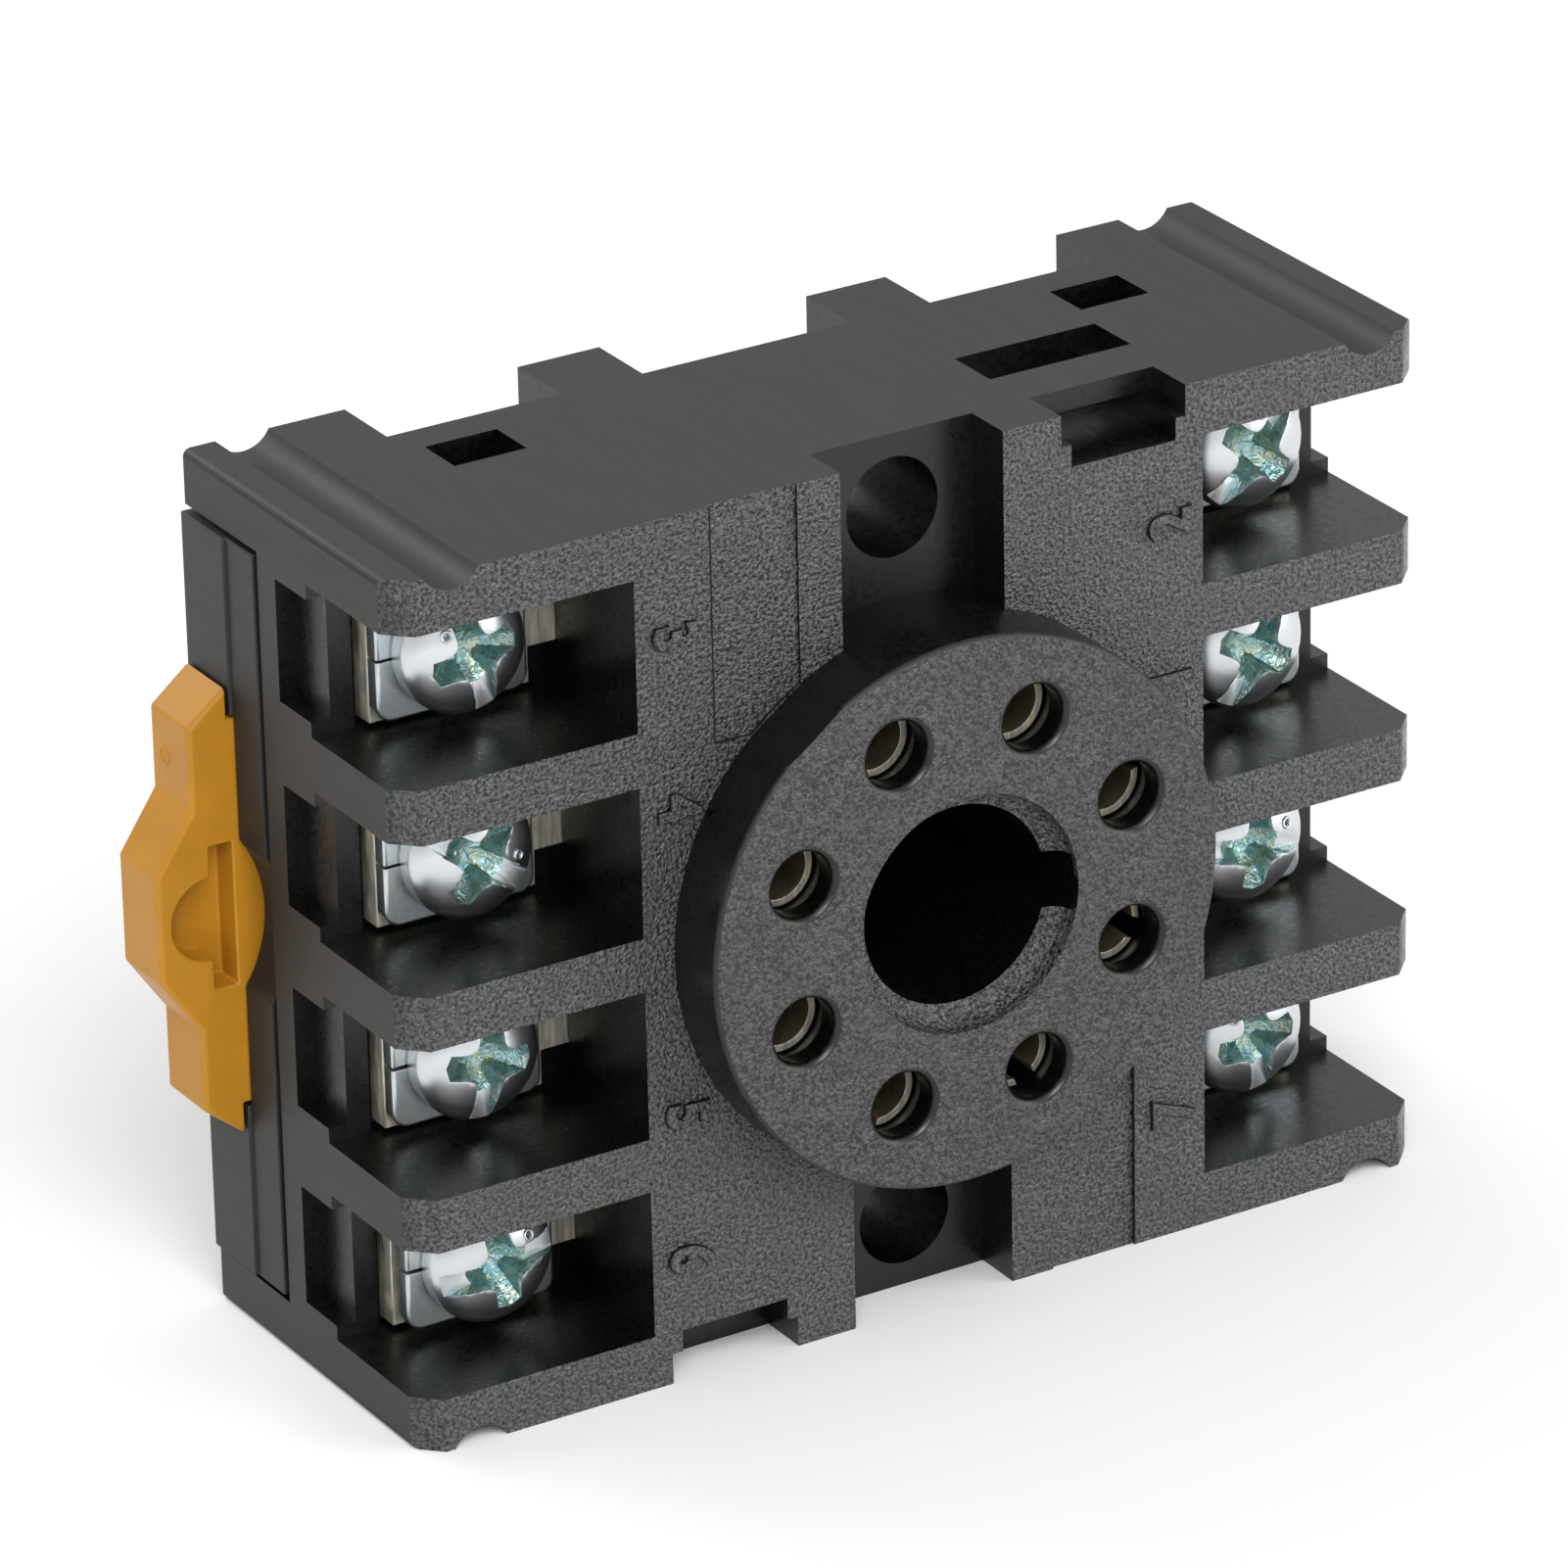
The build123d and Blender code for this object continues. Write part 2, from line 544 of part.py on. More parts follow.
def make_terminal_plate(number):
    """Stamped plate with a tapped collar, and the strap that leads to its pin sleeve."""
    side, row, _, _ = TERMINALS[number]
    z = bay_height(row)
    x, pin_z = pin_place(number)
    outer = HALF_LENGTH - PLATE_POCKET_INSET - PLATE_END_GAP
    half = PLATE_WIDTH / 2
    inner = outer - PLATE_LENGTH
    strap = STRAP_WIDTH / 2
    bend_x = BAY_INNER - INNER_WALL - strap
    plate = block(side * inner, side * outer, PLATE_FRONT, POCKET_FLOOR, z - half, z + half)
    plate += block(side * bend_x, side * (inner + OVER), PLATE_FRONT, POCKET_FLOOR, z - strap, z + strap)
    run_x = x - side * bend_x
    run_z = pin_z - z
    leg = SlotCenterToCenter(hypot(run_x, run_z), STRAP_WIDTH)
    turned = Rot(0, 0, degrees(atan2(run_z, run_x))) * leg
    plate += slab(Pos(x - run_x / 2, pin_z - run_z / 2) * turned, PLATE_FRONT, POCKET_FLOOR)
    plate += rod(x, pin_z, EYE_RADIUS, PLATE_FRONT, POCKET_FLOOR)
    plate += rod(side * SCREW_X, z, COLLAR_RADIUS, POCKET_FLOOR, POCKET_FLOOR + COLLAR_LENGTH)
    tapped = THREAD_RADIUS + TAPPED_GAP
    plate -= rod(side * SCREW_X, z, tapped, PLATE_FRONT - OVER, POCKET_FLOOR + COLLAR_LENGTH + OVER)
    return plate - rod(x, pin_z, SLEEVE_OUTER + SLEEVE_GAP, PLATE_FRONT - OVER, POCKET_FLOOR + OVER)


def make_contact_sleeve(number):
    """Rolled pin sleeve, split along its outer side, headed over behind its strap."""
    x, z = pin_place(number)
    front = SLEEVE_SET_BACK - BOSS_HEIGHT
    back = POCKET_FLOOR + SLEEVE_FLANGE_THICKNESS
    sleeve = rod(0, 0, SLEEVE_OUTER, front, back)
    sleeve += rod(0, 0, SLEEVE_FLANGE, POCKET_FLOOR, back)
    sleeve -= rod(0, 0, SLEEVE_OUTER - SLEEVE_WALL, front - OVER, back + OVER)
    half = SLEEVE_SPLIT / 2
    split = block(0, SLEEVE_FLANGE + OVER, front - OVER, PLATE_FRONT - OVER, -half, half)
    outward = 360 / PIN_COUNT * (number - 0.5)
    return Pos(x, 0, z) * Rot(0, -outward, 0) * (sleeve - split)


def washer_back(number):
    """Depth of a washer's back face, with its screw opened by the turns it stands at."""
    return PLATE_FRONT - CLAMP_GAP - TERMINALS[number][2] * THREAD_PITCH


def make_clamp_washer(number):
    """Square washer, rounded at its corners and edges, slit at its outer end."""
    side, row, _, _ = TERMINALS[number]
    back = washer_back(number)
    front = back - WASHER_THICKNESS
    outline = RectangleRounded(WASHER_LENGTH, WASHER_WIDTH, WASHER_CORNER)
    washer = slab(outline, front, back)
    washer = fillet(washer.edges().group_by(Axis.Y)[0], WASHER_EDGE_ROUND)
    washer -= rod(0, 0, THREAD_RADIUS + WASHER_HOLE_GAP, front - OVER, back + OVER)
    outer = side * WASHER_LENGTH / 2
    slit_low = WASHER_SLIT_RISE - WASHER_SLIT / 2
    slit_high = WASHER_SLIT_RISE + WASHER_SLIT / 2
    slit_inner = outer - side * WASHER_SLIT_LENGTH
    washer -= block(slit_inner, outer + side * OVER, front - OVER, back + OVER, slit_low, slit_high)
    return Pos(side * SCREW_X, 0, bay_height(row)) * washer


def make_terminal_screw(number):
    """Pan head screw with a cross recess and a slot right across the head."""
    side, row, _, angle = TERMINALS[number]
    seat = washer_back(number) - WASHER_THICKNESS
    top = seat - HEAD_HEIGHT
    dome = HEAD_HEIGHT - HEAD_RIM
    with BuildPart() as turned:
        with BuildSketch(Plane.XY):
            with BuildLine():
                Polyline((0, HEAD_HEIGHT), (0, -SHANK_LENGTH), (THREAD_RADIUS - SHANK_TIP, -SHANK_LENGTH),
                         (THREAD_RADIUS, SHANK_TIP - SHANK_LENGTH), (THREAD_RADIUS, 0),
                         (HEAD_RADIUS, 0), (HEAD_RADIUS, HEAD_RIM))
                EllipticalCenterArc((0, HEAD_RIM), HEAD_RADIUS, dome, start_angle=0, arc_size=90)
            make_face()
        revolve(axis=Axis.Y)
    screw = Pos(0, seat, 0) * Rot(180, 0, 0) * turned.part
    reach = HEAD_RADIUS + OVER
    half = SLOT_WIDTH / 2
    drive = block(-reach, reach, top - OVER, top + SLOT_DEPTH, -half, half)
    wide = CROSS_WIDTH / 2
    drive += block(-wide, wide, top - OVER, top + CROSS_DEPTH, -CROSS_REACH, CROSS_REACH)
    drive += block(-CROSS_REACH, CROSS_REACH, top - OVER, top + CROSS_DEPTH, -wide, wide)
    screw -= Rot(0, -angle, 0) * drive
    return Pos(side * SCREW_X, 0, bay_height(row)) * screw


def write(name, shape):
    export_step(shape, os.path.join("parts", name + ".step"))


def main():
    os.makedirs("parts", exist_ok=True)
    write("housing", make_housing())
    write("base_cover", make_base_cover())
    write("rail_clip", make_clip())
    for number in TERMINALS:
        write(f"terminal_plate_{number}", make_terminal_plate(number))
        write(f"contact_sleeve_{number}", make_contact_sleeve(number))
        write(f"clamp_washer_{number}", make_clamp_washer(number))
        write(f"terminal_screw_{number}", make_terminal_screw(number))


main()
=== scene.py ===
"""Looks of the relay socket: moulded skins, raised numbers, zinc screws, plated contacts and the studio."""
from math import radians

import bmesh
import bpy
import numpy as np
from bpy.props import FloatProperty, FloatVectorProperty, PointerProperty
from mathutils import Matrix, Vector


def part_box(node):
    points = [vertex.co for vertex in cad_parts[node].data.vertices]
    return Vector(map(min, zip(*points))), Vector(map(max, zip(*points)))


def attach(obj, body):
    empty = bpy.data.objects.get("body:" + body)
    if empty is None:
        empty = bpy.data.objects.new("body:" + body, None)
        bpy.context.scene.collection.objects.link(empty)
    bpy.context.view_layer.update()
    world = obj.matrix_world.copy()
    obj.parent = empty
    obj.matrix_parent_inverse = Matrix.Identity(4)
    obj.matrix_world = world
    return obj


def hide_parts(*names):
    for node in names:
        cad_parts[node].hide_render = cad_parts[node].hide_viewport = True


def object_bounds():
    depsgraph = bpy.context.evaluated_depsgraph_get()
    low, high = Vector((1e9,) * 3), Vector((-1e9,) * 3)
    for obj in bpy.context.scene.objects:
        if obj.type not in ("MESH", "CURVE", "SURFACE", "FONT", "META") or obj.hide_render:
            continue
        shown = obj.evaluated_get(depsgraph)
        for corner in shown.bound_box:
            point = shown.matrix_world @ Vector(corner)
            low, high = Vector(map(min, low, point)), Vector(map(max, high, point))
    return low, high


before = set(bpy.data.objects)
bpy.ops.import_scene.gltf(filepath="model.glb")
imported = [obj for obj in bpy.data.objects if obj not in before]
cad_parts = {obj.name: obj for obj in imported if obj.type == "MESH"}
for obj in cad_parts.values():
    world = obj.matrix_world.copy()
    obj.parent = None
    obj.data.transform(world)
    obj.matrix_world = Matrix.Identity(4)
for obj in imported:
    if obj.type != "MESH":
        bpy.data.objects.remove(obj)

bl_info = {
    "name": "Relay socket looks",
    "version": (1, 0, 0),
    "blender": (4, 5, 0),
    "location": "3D View > Sidebar > Relay Socket",
    "description": "Moulded skins, terminal numbers, screws, contacts and studio of a relay socket",
    "category": "Object",
}

MM = 0.001
CAD_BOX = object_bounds()
TERMINALS = range(1, 9)


# Colours and sizes that a user would change

def linear(code):
    """An sRGB hex colour as linear RGBA: c / 12.92 below 0.04045, else ((c + 0.055) / 1.055) ** 2.4."""
    parts = np.array([int(code[i:i + 2], 16) for i in (1, 3, 5)]) / 255
    low = parts / 12.92
    high = ((parts + 0.055) / 1.055) ** 2.4
    return (*np.where(parts <= 0.04045, low, high), 1.0)


def size_property(label, note, millimetres):
    """A length of the panel, given in millimetres and kept in metres."""
    return FloatProperty(name=label, description=note, default=millimetres * MM, unit="LENGTH", precision=5)


def colour_property(label, note, code):
    """A colour of the panel, given as an sRGB hex code and kept as linear RGBA."""
    return FloatVectorProperty(name=label, description=note, default=linear(code), size=4, subtype="COLOR",
                               min=0.0, max=1.0)


class SocketSizes(bpy.types.PropertyGroup):
    """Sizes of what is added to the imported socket."""
    edge: size_property("Moulded edge", "Round on the edges of the mouldings", 0.09)
    clip_edge: size_property("Clip edge", "Round on the edges of the rail clip", 0.13)
    metal_edge: size_property("Metal edge", "Round on the sheared and rolled metal edges", 0.06)
    screw_edge: size_property("Screw edge", "Round on the edges of the head's recesses", 0.11)
    lip_radius: size_property("Lip radius", "Radius of a pin hole within its rounded lip", 1.46)
    lip_round: size_property("Lip round", "Round of a pin hole's lip", 0.42)
    digit_height: size_property("Digit height", "Height of a terminal number", 1.98)
    digit_rise: size_property("Digit rise", "How far a terminal number stands out", 0.2)
    digit_slope: size_property("Digit slope", "Width of the slope round a terminal number's strokes", 0.12)
    # The painted shadow line: a near-black ridge standing in for the shade along a label field's outer edge
    hairline_width: size_property("Hairline width", "Width of the hairline along a label field", 0.07)
    head_radius: size_property("Head radius", "Radius of a terminal screw's head", 2.9)
    head_rim: size_property("Head rim", "Height of the upright rim of the head", 0.8)
    head_height: size_property("Head height", "Whole height of the head", 2.2)
    shank_length: size_property("Shank length", "Length of the screw below its head", 4.9)
    thread_radius: size_property("Thread radius", "Outer radius of the thread", 1.75)
    thread_depth: size_property("Thread depth", "Depth of the thread's groove", 0.32)
    thread_pitch: size_property("Thread pitch", "Advance of the thread in one turn", 0.6)
    slot_width: size_property("Slot width", "Width of the straight slot", 1.1)
    slot_depth: size_property("Slot depth", "Depth of the straight slot", 0.9)
    cross_width: size_property("Cross width", "Width of an arm of the cross at its mouth", 1.15)
    cross_reach: size_property("Cross reach", "Reach of an arm of the cross at its mouth", 2.0)
    cross_core: size_property("Cross core", "Radius of the cross between its arms", 1.0)
    cross_depth: size_property("Cross depth", "Depth of the cross at its middle", 1.55)


class SocketColours(bpy.types.PropertyGroup):
    """Colours of the socket's finishes and of the studio."""
    eroded: colour_property("Eroded plastic", "Spark-eroded faces of the black mouldings", "#3a3a3a")
    satin: colour_property("Satin plastic", "Plain outer faces of the black mouldings", "#161616")
    polished: colour_property("Polished plastic", "Inner faces of the black mouldings", "#050505")
    clip: colour_property("Clip plastic", "Body colour of the rail clip", "#b67e1e")
    zinc: colour_property("Zinc", "Bright zinc plating", "#d8d9dd")
    teal: colour_property("Passivation teal", "Cool tint of the zinc passivation", "#4d8a84")
    sky: colour_property("Passivation blue", "Light tint of the zinc passivation", "#9cc6d6")
    lime: colour_property("Passivation yellow", "Warm tint of the zinc passivation", "#b5ad74")
    nickel: colour_property("Nickel", "Nickel plating of the contacts", "#f0eee4")
    brass: colour_property("Sheared brass", "Yellowish sheared edge of the contacts", "#e9e3c8")
    sleeve: colour_property("Sleeve", "Dull brownish inside of the pin sleeves", "#a3977f")
    floor: colour_property("Floor", "Pale studio floor", "#fbfbfb")


# Meshes

# Points nearer than this are one point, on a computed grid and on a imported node's loose triangles
GRID_WELD = 1e-7
NODE_WELD = 2e-6
# Edges shorter than this are slivers, and faces flat to this angle in degrees are made one again
SLIVER = 1e-6
FLAT_ANGLE = 0.6


def linked(name, data):
    """A new object of a mesh, lamp, camera or text, in the scene's collection, at the origin."""
    piece = bpy.data.objects.new(name, data)
    bpy.context.scene.collection.objects.link(piece)
    return piece


def settled(piece):
    """The piece with its modifiers worked into its mesh."""
    shown = piece.evaluated_get(bpy.context.evaluated_depsgraph_get())
    mesh = bpy.data.meshes.new_from_object(shown)
    piece.modifiers.clear()
    old = piece.data
    piece.data = mesh
    bpy.data.meshes.remove(old)
    return piece


def smooth(piece, angle=32.0):
    """Smooth shading, broken at edges sharper than the angle in degrees, and led by the large faces."""
    mesh = piece.data
    mesh.polygons.foreach_set("use_smooth", np.ones(len(mesh.polygons), bool))
    mesh.set_sharp_from_angle(angle=radians(angle))
    weighted = piece.modifiers.new("normals", "WEIGHTED_NORMAL")
    weighted.keep_sharp = True
    return settled(piece)


def rounded(piece, width, angle=35.0, segments=2):
    """Round every edge sharper than the angle, in degrees, to the width."""
    bevel = piece.modifiers.new("edge", "BEVEL")
    bevel.width = width
    bevel.segments = segments
    bevel.limit_method = "ANGLE"
    bevel.angle_limit = radians(angle)
    return settled(piece)


def cut(piece, *cutters):
    """Take the cutters' volumes out of the piece, and the cutters out of the scene."""
    for cutter in cutters:
        boolean = piece.modifiers.new("cut", "BOOLEAN")
        boolean.operation = "DIFFERENCE"
        boolean.solver = "EXACT"
        boolean.object = cutter
    settled(piece)
    for cutter in cutters:
        bpy.data.objects.remove(cutter)


def joined(name, *meshes):
    """One mesh of several."""
    shape = bmesh.new()
    for mesh in meshes:
        shape.from_mesh(mesh)
    mesh = bpy.data.meshes.new(name)
    shape.to_mesh(mesh)
    shape.free()
    return mesh


def grid_mesh(name, points, ring=False):
    """Mesh of a surface given as an array of points, rows by columns by three.

    The columns always close on themselves, and the rows of a ring as well. Each cell is a quad
    between neighbouring rows and columns; rows that shrink to a point are merged to one pole.
    """
    rows, columns = points.shape[:2]
    number = np.arange(rows * columns).reshape(rows, columns)
    if ring:
        number = np.vstack([number, number[:1]])
    here, after = number[:-1], number[1:]
    quads = np.stack([here, after, np.roll(after, -1, 1), np.roll(here, -1, 1)], -1).reshape(-1, 4)
    mesh = bpy.data.meshes.new(name)
    mesh.from_pydata(points.reshape(-1, 3).tolist(), [], quads.tolist())
    shape = bmesh.new()
    shape.from_mesh(mesh)
    bmesh.ops.remove_doubles(shape, verts=shape.verts, dist=GRID_WELD)
    bmesh.ops.recalc_face_normals(shape, faces=shape.faces)
    shape.to_mesh(mesh)
    shape.free()
    return mesh


def revolved(name, profile, columns, ring=False):
    """Surface of revolution about Z: each row of (radius, height) is carried once round the axis."""
    profile = np.asarray(profile)
    angle = np.linspace(0, 2 * np.pi, columns, endpoint=False)
    radius, height = profile[:, :1], profile[:, 1:]
    points = np.stack([radius * np.cos(angle), radius * np.sin(angle), height + 0 * angle], -1)
    return grid_mesh(name, points, ring)


def ring_mark(name, radius, thickness, place):
    """A mould's or die's ring mark: a circle of the thickness is carried round a circle of the radius."""
    turn = np.linspace(0, 2 * np.pi, 12, endpoint=False)
    profile = np.stack([radius + thickness * np.cos(turn), thickness * np.sin(turn)], -1)
    mesh = revolved(name, profile, 32, True)
    mesh.transform(place)
    return mesh


def solid_copy(node, name):
    """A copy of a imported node's mesh, welded, with its flat faces made whole again."""
    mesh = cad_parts[node].data.copy()
    mesh.name = name
    shape = bmesh.new()
    shape.from_mesh(mesh)
    bmesh.ops.remove_doubles(shape, verts=shape.verts, dist=NODE_WELD)
    bmesh.ops.dissolve_degenerate(shape, edges=shape.edges, dist=SLIVER)
    bmesh.ops.dissolve_limit(shape, angle_limit=radians(FLAT_ANGLE), verts=shape.verts, edges=shape.edges)
    shape.to_mesh(mesh)
    shape.free()
    mesh.materials.clear()
    return linked(name, mesh)


def face_places(mesh):
    """Centres and normals of a mesh's faces, each as rows of three."""
    centres, normals = np.empty((2, len(mesh.polygons) * 3))
    mesh.polygons.foreach_get("center", centres)
    mesh.polygons.foreach_get("normal", normals)
    return centres.reshape(-1, 3), normals.reshape(-1, 3)


def by_face(piece, rule, *materials):
    """Give each face the material whose place in the list the rule returns for its centre and normal."""
    mesh = piece.data
    for material in materials:
        mesh.materials.append(material)
    mesh.polygons.foreach_set("material_index", rule(*face_places(mesh)).astype(np.int32))


def stands_for(piece, node, body):
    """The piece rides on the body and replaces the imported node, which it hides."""
    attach(piece, body)
    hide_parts(node)


# Materials

ERODED_NYLON = "glass-filled nylon, spark-eroded"
SATIN_NYLON = "glass-filled nylon, satin"
POLISHED_NYLON = "glass-filled nylon, polished"

# Most of a noise lies between these values
NOISE_LOW = 0.35
NOISE_HIGH = 0.65

# The boss's face is a little darker than the front plane: the depths between which its tone sets in, and
# the tone's share
BOSS_TONE_FROM = -2.8 * MM
BOSS_TONE_TO = -3.2 * MM
BOSS_TONE_SHARE = 0.38


def add_node(tree, kind, inputs=None, **settings):
    """Add one node, set its properties, then set or link each input: a socket is linked, a value is set."""
    node = tree.nodes.new(kind)
    for name, value in settings.items():
        setattr(node, name, value)
    for name, value in (inputs or {}).items():
        if isinstance(value, bpy.types.NodeSocket):
            tree.links.new(value, node.inputs[name])
        else:
            node.inputs[name].default_value = value
    return node


def new_material(name):
    """An empty node material, and the object coordinates that its patterns read."""
    material = bpy.data.materials.new(name)
    material.use_nodes = True
    tree = material.node_tree
    tree.nodes.clear()
    place = add_node(tree, "ShaderNodeTexCoord").outputs["Object"]
    return material, tree, place


def mixed(tree, factor, first, second):
    """Colour between two colours by a factor."""
    return add_node(tree, "ShaderNodeMix", {0: factor, 6: first, 7: second}, data_type="RGBA").outputs[2]


def spread(tree, value, low, high):
    """A noise stretched so that most of it runs from low to high."""
    settings = {"Value": value, "From Min": NOISE_LOW, "From Max": NOISE_HIGH, "To Min": low, "To Max": high}
    return add_node(tree, "ShaderNodeMapRange", settings).outputs[0]


def shade(colour, factor):
    """A colour made darker or lighter by a factor."""
    return (*(min(1.0, part * factor) for part in colour[:3]), 1.0)


def eroded_plastic(colours):
    """Glass-filled nylon off a spark-eroded mould: a matt grain of pale ridges round darker pits."""
    material, tree, place = new_material(ERODED_NYLON)
    # drawn at 0.17 to 0.3 mm, coarser than the real skin, so that it still shows in a picture
    grain = add_node(tree, "ShaderNodeTexNoise", {"Vector": place, "Scale": 1 / (0.17 * MM), "Detail": 1.0,
                                                  "Roughness": 0.5, "Distortion": 0.3})
    pits = add_node(tree, "ShaderNodeTexVoronoi", {"Vector": place, "Scale": 1 / (0.3 * MM)}, feature="F1")
    cloud = add_node(tree, "ShaderNodeTexNoise", {"Vector": place, "Scale": 1 / (2.5 * MM), "Detail": 2.0})
    tone = mixed(tree, spread(tree, grain.outputs[0], 0.0, 1.0), shade(colours.eroded, 0.1),
                 shade(colours.eroded, 2.4))
    tone = mixed(tree, spread(tree, cloud.outputs[0], 0.0, 0.3), tone, shade(colours.eroded, 0.75))
    depth = add_node(tree, "ShaderNodeSeparateXYZ", {"Vector": place}).outputs["Y"]
    boss = add_node(tree, "ShaderNodeMapRange", {"Value": depth, "From Min": BOSS_TONE_TO,
                                                 "From Max": BOSS_TONE_FROM, "To Min": BOSS_TONE_SHARE,
                                                 "To Max": 0.0}).outputs[0]
    tone = mixed(tree, boss, tone, shade(colours.eroded, 0.25))
    rough = spread(tree, pits.outputs["Distance"], 0.22, 0.38)
    relief = add_node(tree, "ShaderNodeBump", {"Height": grain.outputs[0], "Strength": 1.0,
                                               "Distance": 0.19 * MM})
    fine = add_node(tree, "ShaderNodeBump", {"Height": pits.outputs["Distance"], "Strength": 0.4,
                                             "Distance": 0.05 * MM, "Normal": relief.outputs[0]})
    shader = add_node(tree, "ShaderNodeBsdfPrincipled", {"Base Color": tone, "Roughness": rough,
                                                         "Normal": fine.outputs[0], "IOR": 1.5})
    add_node(tree, "ShaderNodeOutputMaterial", {"Surface": shader.outputs[0]})
    return material


def satin_plastic(colours):
    """The same nylon on the outer faces: smoother, with faint streaks along the way it left the mould."""
    material, tree, place = new_material(SATIN_NYLON)
    drawn = add_node(tree, "ShaderNodeMapping", {"Vector": place, "Scale": (1.0, 0.12, 1.0)}).outputs[0]
    streaks = add_node(tree, "ShaderNodeTexNoise", {"Vector": drawn, "Scale": 1 / (0.5 * MM),
                                                    "Detail": 3.0}).outputs[0]
    grain = add_node(tree, "ShaderNodeTexNoise", {"Vector": place, "Scale": 1 / (0.12 * MM), "Detail": 2.0})
    tone = mixed(tree, spread(tree, streaks, 0.0, 1.0), shade(colours.satin, 0.92), shade(colours.satin, 1.1))
    relief = add_node(tree, "ShaderNodeBump", {"Height": grain.outputs[0], "Strength": 0.45,
                                               "Distance": 0.03 * MM})
    rough = spread(tree, streaks, 0.5, 0.54)
    shader = add_node(tree, "ShaderNodeBsdfPrincipled", {"Base Color": tone, "Roughness": rough,
                                                         "Normal": relief.outputs[0], "IOR": 1.5})
    add_node(tree, "ShaderNodeOutputMaterial", {"Surface": shader.outputs[0]})
    return material


def polished_plastic(colours):
    """The same nylon off polished steel cores: near black, glossy, with a slight ripple of flow."""
    material, tree, place = new_material(POLISHED_NYLON)
    flow = add_node(tree, "ShaderNodeTexNoise", {"Vector": place, "Scale": 1 / (1.6 * MM), "Detail": 3.0})
    specks = add_node(tree, "ShaderNodeTexNoise", {"Vector": place, "Scale": 1 / (0.3 * MM),
                                                   "Detail": 2.0}).outputs[0]
    tone = mixed(tree, spread(tree, specks, 0.0, 1.0), shade(colours.polished, 0.8),
                 shade(colours.polished, 1.3))
    relief = add_node(tree, "ShaderNodeBump", {"Height": flow.outputs[0], "Strength": 0.12,
                                               "Distance": 0.06 * MM})
    rough = spread(tree, specks, 0.26, 0.38)
    shader = add_node(tree, "ShaderNodeBsdfPrincipled", {"Base Color": tone, "Roughness": rough,
                                                         "Normal": relief.outputs[0], "IOR": 1.5})
    add_node(tree, "ShaderNodeOutputMaterial", {"Surface": shader.outputs[0]})
    return material


def torn_plastic(colours):
    """Painted shadow: the dark line that shade draws along a label field's outer edge, as a matt, unlit black
    nylon hairline.
    """
    material, tree, place = new_material("glass-filled nylon, painted shadow line")
    crumb = add_node(tree, "ShaderNodeTexNoise", {"Vector": place, "Scale": 1 / (0.1 * MM), "Detail": 2.0})
    relief = add_node(tree, "ShaderNodeBump", {"Height": crumb.outputs[0], "Strength": 0.8,
                                               "Distance": 0.04 * MM})
    shader = add_node(tree, "ShaderNodeBsdfPrincipled", {"Base Color": colours.polished, "Roughness": 0.95,
                                                         "Normal": relief.outputs[0], "IOR": 1.5})
    add_node(tree, "ShaderNodeOutputMaterial", {"Surface": shader.outputs[0]})
    return material


def clip_plastic(colours):
    """Acetal, injection moulded: a warm orange body with a little light in it and a soft semi-gloss skin."""
    material, tree, place = new_material("acetal, moulded")
    cloud = add_node(tree, "ShaderNodeTexNoise", {"Vector": place, "Scale": 1 / (3.0 * MM), "Detail": 3.0})
    skin = add_node(tree, "ShaderNodeTexNoise", {"Vector": place, "Scale": 1 / (0.35 * MM), "Detail": 3.0})
    tone = mixed(tree, spread(tree, cloud.outputs[0], 0.0, 1.0), shade(colours.clip, 0.93),
                 shade(colours.clip, 1.05))
    relief = add_node(tree, "ShaderNodeBump", {"Height": skin.outputs[0], "Strength": 0.15,
                                               "Distance": 0.02 * MM})
    shader = add_node(tree, "ShaderNodeBsdfPrincipled", {
        "Base Color": tone, "Roughness": 0.42, "Normal": relief.outputs[0], "IOR": 1.48,
        "Specular IOR Level": 0.3, "Subsurface Weight": 0.08, "Subsurface Scale": 0.6 * MM,
        "Subsurface Radius": (1.0, 0.45, 0.15)})
    add_node(tree, "ShaderNodeOutputMaterial", {"Surface": shader.outputs[0]})
    return material


